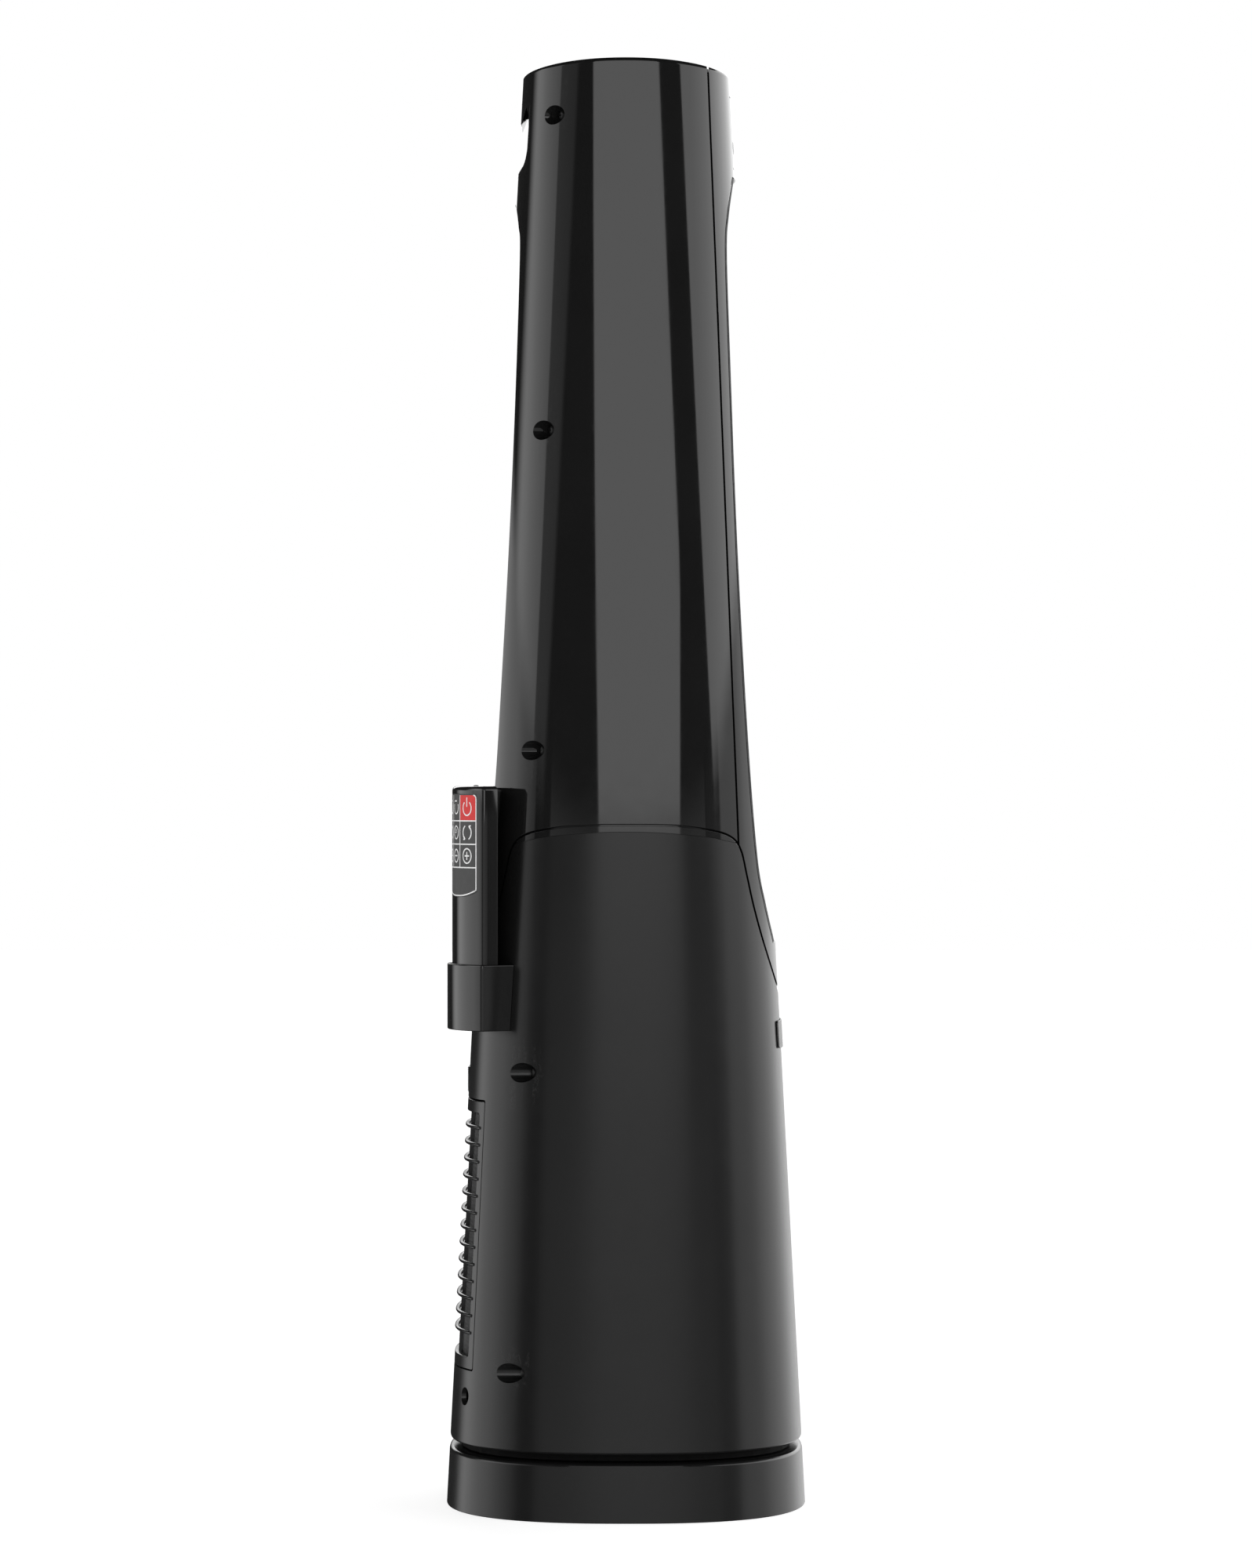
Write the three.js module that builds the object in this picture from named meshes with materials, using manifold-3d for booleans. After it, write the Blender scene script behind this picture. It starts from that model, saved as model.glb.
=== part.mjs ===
// Tower air purifier on a swivelling base: a tapering housing with a rear intake door and filter, a
// centrifugal fan, a glossy column with a recessed front outlet, a remote control and its holder.
// Units are millimetres. +Z is up, the front faces -Y, and the origin is the middle of the base, on
// the floor.
import * as THREE from "three";
import { mergeVertices } from "three/addons/utils/BufferGeometryUtils.js";
import Module from "manifold-3d";

const wasm = await Module();
wasm.setup();

// ---------------------------------------------------------------- driving dimensions
const HEIGHT = 1000;
const HALF_DEPTH = 125; // along Y, at the floor
const HALF_WIDTH = 125; // along X, at the floor
const DEPTH_TAPER = 0.0528; // loss of half depth per mm of height
const WIDTH_TAPER = 0.0615;
const PLAN_POWER = 2.5; // superellipse exponent of every horizontal section
const PLAN_POINTS = 32;
const WALL = 3;
const GAP = 0.4; // between fixed pieces that touch
const TOP_FILLET = 10;

const BASE_BOTTOM = 0.4;
const BASE_TOP = 40.2;
const HOUSING_BOTTOM = 46;
const SHOULDER = 472; // highest point of the arched seam
const SEAM_GAP = 2;

const RECESS_TOP = 921.7; // front recess of the column
const RECESS_BOTTOM = 390;
const SCOOP_TOP = 904; // shallow scoop of the column's back
const GRILLE_PLATE = 1.2; // thickness of the outlet grille's plate, which fills the recess

const WELL_RADIUS = 59.8; // round well in the base that holds the swing drive
const WELL_FLOOR = 16;
const HUB_RADIUS = 20; // hollow hub that the tower turns on
const GEAR_MODULE = 2.5;
const RING_TEETH = 44;
const PINION_TEETH = 12;
const GEAR_BOTTOM = 30;
const GEAR_THICKNESS = 6;
const TOOTH_PLAY = 0.25; // taken off each flank of every tooth

const DOOR_BOTTOM = 97; // window of the intake door in the housing
const DOOR_TOP = 282.7;
const DOOR_FRACTION = 0.6; // of the half width
const BAR_COUNT = 13;
const BAR_PITCH = 11.7;
const BAR_LOWEST = 122.8;

const POCKET_RADIUS = 6.7; // screw pockets in the back
const POCKETS = [
  { z: 99, y: 78 },
  { z: 303, y: 70.5 },
  { z: 523, y: 65 },
  { z: 743, y: 58.7 },
  { z: 961, y: 52 },
];

const HOLDER_BOTTOM = 331;
const HOLDER_TOP = 376.3;
const HOLDER_YAW = 22; // degrees from straight back towards -X
const HOLDER_CENTRE = [-38.8, 56.4]; // centre of the arcs of the holder's and the remote's faces
const HOLDER_ARC = 67.2;
const HOLDER_HALF = 33;
const REMOTE_ARC = 63.8;
const REMOTE_HALF = 30;
const REMOTE_EDGE = 11.4; // height of the remote's side walls
const REMOTE_BOTTOM = 333.5;
const REMOTE_TOP = 498.5;

const FAN_RADIUS = 72;
const FAN_BOTTOM = 318;
const FAN_TOP = 358;
const DUCT_RADIUS = 78;

// ---------------------------------------------------------------- materials
const finish = (color, roughness, metalness = 0) =>
  new THREE.MeshStandardMaterial({ color, roughness, metalness });
const GLOSS_BLACK = finish(0x101011, 0.08);
const SATIN_BLACK = finish(0x1c1c1d, 0.42);
const MATTE_BLACK = finish(0x141415, 0.65);
const RUBBER = finish(0x0c0c0c, 0.85);
const STEEL = finish(0x9a9c9f, 0.35, 1);
const WHITE_PLASTIC = finish(0xd9d8d2, 0.5);
const GREY_PLASTIC = finish(0x5a5c5e, 0.5);
const FILTER_PAPER = finish(0xe8e6dd, 0.9);
const CARBON = finish(0x202020, 0.95);
const BOARD_GREEN = finish(0x1f5a33, 0.5);
const LABEL_GREY = finish(0x4a4a4a, 0.3);

// ---------------------------------------------------------------- solid helpers
const halfDepth = (z) => HALF_DEPTH - DEPTH_TAPER * z;
const halfWidth = (z) => HALF_WIDTH - WIDTH_TAPER * z;
const radians = (degrees) => (degrees * Math.PI) / 180;
const SIDES = [-1, 1];

// A closed three.js geometry as a manifold-3d solid.
function solid(geometry) {
  const bare = geometry.index ? geometry.toNonIndexed() : geometry.clone();
  bare.deleteAttribute("normal");
  bare.deleteAttribute("uv");
  const merged = mergeVertices(bare, 1e-4);
  return new wasm.Manifold(
    new wasm.Mesh({
      numProp: 3,
      vertProperties: merged.attributes.position.array,
      triVerts: new Uint32Array(merged.index.array),
    }),
  );
}

const join = (...solids) => solids.reduce((a, b) => a.add(b));
const cut = (body, ...tools) => tools.reduce((a, b) => a.subtract(b), body);
const common = (...solids) => solids.reduce((a, b) => a.intersect(b));

function geometryOf(body) {
  const mesh = body.getMesh();
  const stride = mesh.numProp;
  const points = new Float32Array(mesh.numVert * 3);
  for (let i = 0; i < mesh.numVert; i++) {
    points.set(mesh.vertProperties.subarray(i * stride, i * stride + 3), i * 3);
  }
  const geometry = new THREE.BufferGeometry();
  geometry.setAttribute("position", new THREE.BufferAttribute(points, 3));
  geometry.setIndex(new THREE.BufferAttribute(mesh.triVerts, 1));
  geometry.computeVertexNormals();
  return geometry;
}

// One point of the superellipse section at height z, pulled in by inset.
function planPoint(z, inset, angle) {
  const c = Math.cos(angle);
  const s = Math.sin(angle);
  const across = Math.sign(c) * Math.abs(c) ** (2 / PLAN_POWER);
  const along = Math.sign(s) * Math.abs(s) ** (2 / PLAN_POWER);
  return [(halfWidth(z) - inset) * across, (halfDepth(z) - inset) * along];
}

// Closed loft through horizontal sections given as [z, inset].
function loft(sections) {
  const points = [];
  const faces = [];
  for (const [z, inset] of sections) {
    for (let i = 0; i < PLAN_POINTS; i++) {
      points.push(...planPoint(z, inset, (2 * Math.PI * i) / PLAN_POINTS), z);
    }
  }
  const last = sections.length - 1;
  points.push(0, 0, sections[0][0], 0, 0, sections[last][0]);
  const below = sections.length * PLAN_POINTS;
  for (let i = 0; i < PLAN_POINTS; i++) {
    const next = (i + 1) % PLAN_POINTS;
    for (let k = 0; k < last; k++) {
      const low = k * PLAN_POINTS;
      const high = low + PLAN_POINTS;
      faces.push(low + i, low + next, high + next, low + i, high + next, high + i);
    }
    faces.push(below, next, i);
    faces.push(below + 1, last * PLAN_POINTS + i, last * PLAN_POINTS + next);
  }
  const geometry = new THREE.BufferGeometry();
  geometry.setAttribute("position", new THREE.Float32BufferAttribute(points, 3));
  geometry.setIndex(faces);
  return solid(geometry);
}

// A straight stretch of the tapering body between two heights, pulled in by inset.
const taper = (low, high, inset) => loft([[low, inset], [high, inset]]);

function outline(points) {
  return new THREE.Shape(points.map(([a, b]) => new THREE.Vector2(a, b)));
}

function extrude(shape, depth, segments = 12) {
  return new THREE.ExtrudeGeometry(shape, { depth, bevelEnabled: false, curveSegments: segments });
}

// Outline in (y, z) swept along X, in (x, z) swept along Y, or in (x, y) swept along Z.
function prismX(shape, from, to) {
  const turn = new THREE.Matrix4().set(0, 0, 1, from, 1, 0, 0, 0, 0, 1, 0, 0, 0, 0, 0, 1);
  return solid(extrude(shape, to - from).applyMatrix4(turn));
}

function prismY(shape, from, to) {
  const turn = new THREE.Matrix4().set(1, 0, 0, 0, 0, 0, -1, to, 0, 1, 0, 0, 0, 0, 0, 1);
  return solid(extrude(shape, to - from).applyMatrix4(turn));
}

function prismZ(shape, from, to, segments = 12) {
  return solid(extrude(shape, to - from, segments).translate(0, 0, from));
}

function box([x0, y0, z0], [x1, y1, z1]) {
  const geometry = new THREE.BoxGeometry(x1 - x0, y1 - y0, z1 - z0);
  return solid(geometry.translate((x0 + x1) / 2, (y0 + y1) / 2, (z0 + z1) / 2));
}

// Profile of [radius, z] points, closed or ending on the axis, turned about Z.
function turned(profile, segments = 24) {
  const points = profile.map(([r, z]) => new THREE.Vector2(r, z));
  return solid(new THREE.LatheGeometry(points, segments).rotateX(Math.PI / 2));
}

function disc(radius, low, high, segments = 24) {
  return turned([[0, low], [radius, low], [radius, high], [0, high]], segments);
}

function ring(inner, outer, low, high, segments = 24) {
  const profile = [[inner, low], [outer, low], [outer, high], [inner, high], [inner, low]];
  return turned(profile, segments);
}

// ---------------------------------------------------------------- shared curves
// Samples of a smooth curve through a few chosen points.
function smooth(points, count) {
  const curve = new THREE.SplineCurve(points.map(([a, b]) => new THREE.Vector2(a, b)));
  return curve.getPoints(count).map((p) => [p.x, p.y]);
}

// Half depth of the column's faces against height, from the top down.
const RECESS_CURVE = smooth(
  [[75.2, RECESS_TOP], [71.4, 895], [69.8, 868], [71.9, 796], [76.8, 664], [84, 532], [90.6, 450],
    [96.6, 417], [103.2, RECESS_BOTTOM]],
  12,
);
const SCOOP_CURVE = smooth(
  [[76.8, SCOOP_TOP], [74.6, 887], [73.6, 865], [76.7, 763], [80.9, 664], [86.3, 565], [90.4, 499],
    [96, 436], [103.2, RECESS_BOTTOM]],
  9,
);

// Arched seam between the housing and the column, as [y, z] from back to front, moved off square
// to itself: positive is upwards.
function seamCurve(offset) {
  const half = smooth(
    [[0, SHOULDER], [35, SHOULDER - 0.6], [60, SHOULDER - 4], [73, SHOULDER - 9], [79, SHOULDER - 18],
      [83, SHOULDER - 35], [88, SHOULDER - 57], [96, SHOULDER - 85], [110, SHOULDER - 127]],
    10,
  );
  const moved = half.map(([y, z], i) => {
    const [ya, za] = half[Math.max(i - 1, 0)];
    const [yb, zb] = half[Math.min(i + 1, half.length - 1)];
    const length = Math.hypot(yb - ya, zb - za);
    return [y - ((zb - za) / length) * offset, z + ((yb - ya) / length) * offset];
  });
  moved[0][0] = 0;
  const mirrored = moved.slice(1).map(([y, z]) => [-y, z]);
  return [...moved.reverse(), ...mirrored];
}

function aboveSeam(offset) {
  const curve = seamCurve(offset);
  const low = curve[0][1];
  const region = [[200, low], ...curve, [-200, low], [-200, 1200], [200, 1200]];
  return prismX(outline(region.reverse()), -150, 150);
}

function belowSeam(offset) {
  const curve = seamCurve(offset);
  const low = curve[0][1];
  return prismX(outline([[200, low], ...curve, [-200, low], [-200, 0], [200, 0]]), -150, 150);
}

// Outer form of the column, pulled in by inset, with the front recess sunk by a further depth.
function columnForm(inset, sunk) {
  const top = HEIGHT - inset;
  const steps = inset === 0 ? 4 : 1;
  const sections = [[330, inset]];
  for (let i = 0; i <= steps; i++) {
    const turn = (Math.PI / 2) * (i / steps);
    const rise = TOP_FILLET * Math.sin(turn);
    sections.push([top - TOP_FILLET + rise, inset + TOP_FILLET * (1 - Math.cos(turn))]);
  }
  const front = RECESS_CURVE.map(([half, z]) => [-(half - inset - sunk), z]);
  const back = SCOOP_CURVE.map(([half, z]) => [half - inset, z]).reverse();
  const sides = outline([
    [-200, 1100], [-200, RECESS_TOP], ...front, [-200, RECESS_BOTTOM], [-200, 300],
    [200, 300], [200, RECESS_BOTTOM], ...back, [200, SCOOP_TOP], [200, 1100],
  ]);
  return common(loft(sections), prismX(sides, -150, 150));
}

// Straight seam between the column's back shell and its front frame.
const frontSeam = (z) => -(56.5 + 0.0385 * (994 - z));
function frontSide(offset) {
  const low = [frontSeam(200) - offset, 200];
  const high = [frontSeam(1100) - offset, 1100];
  return prismX(outline([[-200, 200], low, high, [-200, 1100]]), -150, 150);
}

// ---------------------------------------------------------------- node list
const root = new THREE.Group();
function add(group, name, body, material) {
  const mesh = new THREE.Mesh(geometryOf(body), material);
  mesh.name = name;
  group.add(mesh);
  return mesh;
}
function groupAt(parent, x, y, z) {
  const group = new THREE.Group();
  group.position.set(x, y, z);
  parent.add(group);
  return group;
}

// ---------------------------------------------------------------- base
const base = groupAt(root, 0, 0, 0);
const FEET = [[-82, -82], [82, -82], [82, 82], [-82, 82]];
const FOOT_RADIUS = 10;
const BASE_SCREWS = [[-96, 0], [96, 0], [0, -96], [0, 96]];
const SCREW_SHANK = 1.5;
const HEAD_RADIUS = 3.3;
const HEAD_HEIGHT = 2.4;
const HEAD_SEAT = BASE_BOTTOM + HEAD_HEIGHT; // where the base screws' heads bear, inside the plate
const BOSS_FACE = 6; // where the plate's bosses meet the shell's
const GLAND_HEIGHT = 21;

// A pan-head screw standing on z = 0 with its shank below.
function panScrew(length) {
  return turned(
    [[0, -length], [SCREW_SHANK, -length], [SCREW_SHANK, 0], [HEAD_RADIUS, 0], [HEAD_RADIUS, 1.4],
      [0, HEAD_HEIGHT]],
    8,
  );
}

function buildBaseShell() {
  const outer = loft([[BASE_BOTTOM, 0], [BASE_TOP - 2.5, 0], [BASE_TOP - 0.7, 0.8], [BASE_TOP, 2.6]]);
  const hollow = taper(BASE_BOTTOM - 5, BASE_TOP - WALL, WALL);
  const wellWall = disc(WELL_RADIUS + 2.4, WELL_FLOOR - WALL, BASE_TOP - 1);
  const well = disc(WELL_RADIUS, WELL_FLOOR, BASE_TOP + 5);
  const hubHole = disc(HUB_RADIUS + GAP, 0, BASE_TOP);
  const bosses = BASE_SCREWS.map(([x, y]) =>
    disc(4, BOSS_FACE + 0.3, BASE_TOP - 1, 12).translate([x, y, 0]));
  const pilots = BASE_SCREWS.map(([x, y]) => disc(SCREW_SHANK + 0.3, 0, 20, 8).translate([x, y, 0]));
  const glandHole = disc(6.4, 100, 140, 16).rotate([-90, 0, 0]).translate([0, 0, GLAND_HEIGHT]);
  return cut(join(cut(outer, hollow), wellWall, ...bosses), well, hubHole, ...pilots, glandHole);
}

function buildBasePlate() {
  const plate = taper(BASE_BOTTOM, BASE_BOTTOM + 3, WALL + GAP);
  const pads = FEET.map(([x, y]) =>
    disc(FOOT_RADIUS + GAP, 0, BASE_BOTTOM + 1.6, 20).translate([x, y, 0]));
  const bosses = BASE_SCREWS.map(([x, y]) =>
    disc(5.5, BASE_BOTTOM + 1, BOSS_FACE, 12).translate([x, y, 0]));
  const sunk = BASE_SCREWS.map(([x, y]) => disc(3.8, 0, HEAD_SEAT + 0.3, 12).translate([x, y, 0]));
  const holes = BASE_SCREWS.map(([x, y]) => disc(SCREW_SHANK + 0.3, 0, 10, 8).translate([x, y, 0]));
  return cut(join(plate, ...bosses), ...pads, ...sunk, ...holes);
}

// Closed outline of an involute gear about the origin. Each flank is moved by play.
function gearOutline(teeth, tipRadius, rootRadius, play, from = 0, to = teeth) {
  const pitch = (GEAR_MODULE * teeth) / 2;
  const baseRadius = pitch * Math.cos(radians(20));
  const involute = (r) => {
    const a = Math.acos(Math.min(1, baseRadius / r));
    return Math.tan(a) - a;
  };
  const halfTooth = Math.PI / 2 / teeth + involute(pitch) + play / pitch;
  const low = Math.max(rootRadius, baseRadius);
  const points = [];
  for (let k = from; k < to; k++) {
    const middle = (2 * Math.PI * k) / teeth;
    const flank = [0, 0.5, 1].map((f) => low + (tipRadius - low) * f);
    const rising = flank.map((r) => [r, middle - halfTooth + involute(r)]);
    const falling = flank.map((r) => [r, middle + halfTooth - involute(r)]).reverse();
    const start = [rootRadius, middle - halfTooth];
    const end = [rootRadius, middle + halfTooth];
    points.push(...(rootRadius < low ? [start, ...rising, ...falling, end] : [...rising, ...falling]));
  }
  return points.map(([r, a]) => [r * Math.cos(a), r * Math.sin(a)]);
}

const RING_PITCH = (GEAR_MODULE * RING_TEETH) / 2;
const PINION_PITCH = (GEAR_MODULE * PINION_TEETH) / 2;
const PINION_Y = -(RING_PITCH - PINION_PITCH);
const SECTOR_HALF = 66; // degrees of toothed arc each side of the front

// Internal tooth sector on the wall of the well, centred on the front.
function buildRingGear() {
  const blank = ring(RING_PITCH - 2, WELL_RADIUS - GAP, GEAR_BOTTOM, GEAR_BOTTOM + GEAR_THICKNESS);
  const spaces = outline(gearOutline(RING_TEETH, RING_PITCH + 3, RING_PITCH - 2.6, TOOTH_PLAY));
  const toothed = cut(blank, prismZ(spaces, GEAR_BOTTOM - 1, GEAR_BOTTOM + GEAR_THICKNESS + 1));
  const reach = 90;
  const side = radians(90 - SECTOR_HALF);
  const wedge = outline([
    [0, 0], [-reach * Math.cos(side), -reach * Math.sin(side)], [-reach, -reach], [reach, -reach],
    [reach * Math.cos(side), -reach * Math.sin(side)],
  ]);
  return common(toothed, prismZ(wedge, 0, BASE_TOP));
}

add(base, "base_shell", buildBaseShell(), SATIN_BLACK);
add(base, "base_plate", buildBasePlate(), MATTE_BLACK);
FEET.forEach(([x, y], i) => {
  const spot = groupAt(base, x, y, 0);
  add(spot, `foot_pad_${i + 1}`, disc(FOOT_RADIUS, 0, BASE_BOTTOM + 1.2, 20), RUBBER);
});
BASE_SCREWS.forEach(([x, y], i) => {
  const spot = groupAt(base, x, y, HEAD_SEAT);
  add(spot, `base_screw_${i + 1}`, panScrew(9).rotate([180, 0, 0]), STEEL);
});
add(base, "swing_ring_gear", buildRingGear(), WHITE_PLASTIC);
add(base, "glide_ring", ring(68, 80, BASE_TOP + 0.3, HOUSING_BOTTOM), WHITE_PLASTIC);

// Strain-relief gland for the mains cord, flush in the back of the base.
function buildGland() {
  const flange = halfDepth(GLAND_HEIGHT) - 1;
  const body = join(disc(6, flange - 9, flange, 16), disc(8.5, flange - 9, flange - 4.5, 16));
  const bushing = body.rotate([-90, 0, 0]).translate([0, 0, GLAND_HEIGHT]);
  const bore = disc(3.4, 90, 140, 12).rotate([-90, 0, 0]).translate([0, 0, GLAND_HEIGHT]);
  return cut(bushing, bore);
}
add(base, "cord_gland", buildGland(), RUBBER);

// ---------------------------------------------------------------- swivel and swing drive
const tower = groupAt(root, 0, 0, 0);
const PLATE_LOW = HOUSING_BOTTOM + 0.4;
const PLATE_HIGH = PLATE_LOW + 3;

function buildTurntable() {
  const plate = taper(PLATE_LOW, PLATE_HIGH, WALL + GAP);
  const skirt = cut(taper(BASE_TOP + 1, PLATE_LOW + 1, 8), taper(BASE_TOP, PLATE_LOW + 2, 10.5));
  const hub = disc(HUB_RADIUS, 5.5, PLATE_LOW + 1);
  const cable = disc(15, 0, PLATE_HIGH + 5, 24);
  const shaftHole = disc(4.5, PLATE_LOW - 5, PLATE_HIGH + 5, 12).translate([0, PINION_Y, 0]);
  return cut(join(plate, skirt, hub), cable, shaftHole);
}

add(tower, "turntable", buildTurntable(), MATTE_BLACK);
add(tower, "thrust_washer", ring(HUB_RADIUS + GAP, 31, 11.2, 12.6), WHITE_PLASTIC);
add(tower, "swivel_nut", cut(disc(29, 5.6, 10.8, 6), disc(HUB_RADIUS + GAP, 0, 20)), STEEL);

// Can-shaped gear motor with its output boss off centre, standing over the pinion.
function buildSwingMotor() {
  const can = disc(14, PLATE_HIGH + GAP, PLATE_HIGH + 19, 24).translate([0, PINION_Y + 8, 0]);
  const ears = box([-21, PINION_Y + 4.5, PLATE_HIGH + GAP], [21, PINION_Y + 11.5, PLATE_HIGH + 1.6]);
  const plug = box([-7, PINION_Y + 20, PLATE_HIGH + 5], [7, PINION_Y + 24.5, PLATE_HIGH + 15]);
  return join(can, ears, plug);
}
add(tower, "swing_motor", buildSwingMotor(), STEEL);

function buildPinion() {
  const teeth = outline(gearOutline(PINION_TEETH, PINION_PITCH + 1.9, PINION_PITCH - 2.9, -TOOTH_PLAY));
  const wheel = prismZ(teeth, GEAR_BOTTOM - 1, GEAR_BOTTOM + GEAR_THICKNESS + 1);
  const shaft = disc(3, GEAR_BOTTOM, PLATE_HIGH, 12);
  return join(wheel, shaft);
}
const pinionSpot = groupAt(root, 0, PINION_Y, 0);
add(pinionSpot, "swing_pinion", buildPinion(), WHITE_PLASTIC);

// ---------------------------------------------------------------- screw pockets
// Places the pocket's tool, which runs along +Y from y = 0, on one side of the back.
function atPocket(tool, { z, y }, side) {
  const lean = 0.026 * (z - 80); // pockets lean outwards as the section gets rounder
  const across = halfWidth(z) * (1 - (y / halfDepth(z)) ** PLAN_POWER) ** (1 / PLAN_POWER);
  const turnedTool = tool.rotate([0, 0, -side * lean]);
  return turnedTool.translate([side * (across - 1.5), y - 9, z]);
}
const alongY = (body) => body.rotate([-90, 0, 0]);
const pocketBoss = () => alongY(disc(POCKET_RADIUS + 1.7, -3, 60, 12));
const pocketHole = () => alongY(disc(POCKET_RADIUS, 0, 80, 12));
const pocketPilot = () => alongY(disc(SCREW_SHANK + 0.4, -10, 1, 8));
const pocketScrew = () => alongY(panScrew(12).translate([0, 0, 0.3]));

function withPockets(shell, form, places) {
  let result = shell;
  for (const place of places) {
    for (const side of SIDES) {
      const boss = common(atPocket(pocketBoss(), place, side), form);
      result = cut(join(result, boss), atPocket(pocketHole(), place, side));
      result = cut(result, atPocket(pocketPilot(), place, side));
    }
  }
  return result;
}

// ---------------------------------------------------------------- lower housing
const doorHalf = (z) => DOOR_FRACTION * halfWidth(z);
// Trapezium of the door's window in (x, z), pulled in by a margin.
function doorOutline(side, bottom = side, top = side) {
  const low = DOOR_BOTTOM + bottom;
  const high = DOOR_TOP - top;
  return outline([
    [-doorHalf(low) + side, low], [doorHalf(low) - side, low],
    [doorHalf(high) - side, high], [-doorHalf(high) + side, high],
  ]);
}
const LATCH_BOTTOM = 285;
const LATCH_TOP = 303;
const LATCH_HALF = 14;

const LIP_HALF = 76; // half length of the collar's visible lip along the arch
const LOW_HOLE = { x: 62, z: 79, radius: 6.2 }; // two plain holes below the door

// Lower edge of the collar's lip as [y, z], moved down by a gap.
function lipEdge(drop, end) {
  const half = [[35, SHOULDER - 7 - drop], [60, SHOULDER - 10 - drop], [end, SHOULDER - 15.1 - 2 * drop]];
  return [...half.map(([y, z]) => [-y, z]).reverse(), ...half];
}

function buildLowerHousing() {
  const level = SHOULDER - 16;
  const square = outline([[-200, 0], [200, 0], [200, level], [-200, level]]);
  const underLip = outline([[-LIP_HALF, 100], [LIP_HALF, 100], ...lipEdge(GAP, LIP_HALF).reverse()]);
  const outside = join(
    common(prismX(square, -150, 150), belowSeam(-SEAM_GAP / 2)),
    prismX(underLip, -150, 150),
  );
  const foot = [[HOUSING_BOTTOM, 2.2], [HOUSING_BOTTOM + 0.8, 0.8], [HOUSING_BOTTOM + 2.6, 0]];
  const form = loft([...foot, [480, 0]]);
  const shell = cut(form, taper(HOUSING_BOTTOM - 5, 490, WALL));
  const window = prismY(doorOutline(0), 60, 150);
  const latchSlot = box(
    [-LATCH_HALF - 0.6, 90, LATCH_BOTTOM - 0.6],
    [LATCH_HALF + 0.6, 130, LATCH_TOP + 5],
  );
  const ledge = cut(taper(320, 323, WALL - 0.5), taper(310, 330, WALL + 5));
  const pocketed = withPockets(join(shell, ledge), form, POCKETS.slice(0, 2));
  const lowHoles = SIDES.map((side) =>
    alongY(disc(LOW_HOLE.radius, 0, 40, 16)).translate([side * LOW_HOLE.x, 100, LOW_HOLE.z]));
  return cut(common(pocketed, outside), window, latchSlot, ...lowHoles);
}
add(tower, "lower_housing", buildLowerHousing(), SATIN_BLACK);

// Glossy collar: a spigot behind both shells with a visible lip along the arch.
function buildCollar() {
  const spigot = common(
    cut(taper(330, 480, WALL + GAP + 0.2), taper(320, 490, WALL + 2.8)),
    belowSeam(4),
    aboveSeam(-16),
  );
  const tongues = SIDES.map((side) =>
    box([-70, side * 104 - 16, RECESS_BOTTOM - 5], [70, side * 104 + 16, RECESS_BOTTOM + 40]));
  const end = LIP_HALF - 2;
  const overLip = outline([...lipEdge(0, end), [end, 500], [-end, 500]]);
  const band = common(
    cut(taper(420, 480, 0), taper(410, 490, WALL + 1.5)),
    belowSeam(-SEAM_GAP / 2),
    prismX(overLip, -150, 150),
  );
  return join(cut(spigot, ...tongues), band);
}
add(tower, "shoulder_collar", buildCollar(), GLOSS_BLACK);

const BADGE_LOW = 317;
const BADGE_HIGH = 336;
const BADGE_HALF = 38;
function buildBadge() {
  const slice = common(
    taper(BADGE_LOW, BADGE_HIGH, -1.4),
    box([-BADGE_HALF, -130, BADGE_LOW], [BADGE_HALF, -80, BADGE_HIGH]),
  );
  return cut(slice, taper(BADGE_LOW - 5, BADGE_HIGH + 5, -0.3));
}
add(tower, "front_badge", buildBadge(), STEEL);

// ---------------------------------------------------------------- column
const HANDLE_HALF = 36;
const HANDLE_LOW = 922;
const HANDLE_HIGH = 973;

function handleOutline(margin) {
  return outline([
    [-HANDLE_HALF - margin, HANDLE_LOW - margin], [HANDLE_HALF + margin, HANDLE_LOW - margin],
    [HANDLE_HALF + margin, HANDLE_HIGH + margin], [-HANDLE_HALF - margin, HANDLE_HIGH + margin],
  ]);
}

function buildRearShell() {
  const form = columnForm(0, 0);
  const shell = cut(form, columnForm(WALL, 0));
  const pocketed = withPockets(shell, form, POCKETS.slice(2));
  const handleWindow = prismY(handleOutline(GAP), 40, 120);
  return cut(common(pocketed, aboveSeam(SEAM_GAP / 2)), frontSide(-SEAM_GAP / 2), handleWindow);
}
add(tower, "column_rear_shell", buildRearShell(), GLOSS_BLACK);

// Moulded hand grip let into the back: a cup with a lip that hooks down over the fingers.
function buildHandle() {
  const block = common(columnForm(0, 0), prismY(handleOutline(0), 42, 120));
  const channel = prismX(
    outline([[90, 922.5], [75.2, 924], [72.8, 926.9], [70.9, 929.6], [69.3, 935], [67.8, 946],
      [67.5, 961], [68.3, 967], [69.6, 964], [70.2, 958], [72.4, 956], [90, 950]]),
    -60,
    60,
  );
  const cup = outline([[46, 934], [80, 934], [69, 970], [46, 970]]);
  const pocket = prismX(cup, -HANDLE_HALF + 4, HANDLE_HALF - 4);
  const hook = outline([[69.6, 957], [90, 955], [90, 975], [68.4, 975], [68.4, 968]]);
  const lip = common(block, prismX(hook, -60, 60));
  return join(cut(block, pocket, channel), lip);
}
add(tower, "carry_handle", buildHandle(), GLOSS_BLACK);

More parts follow.
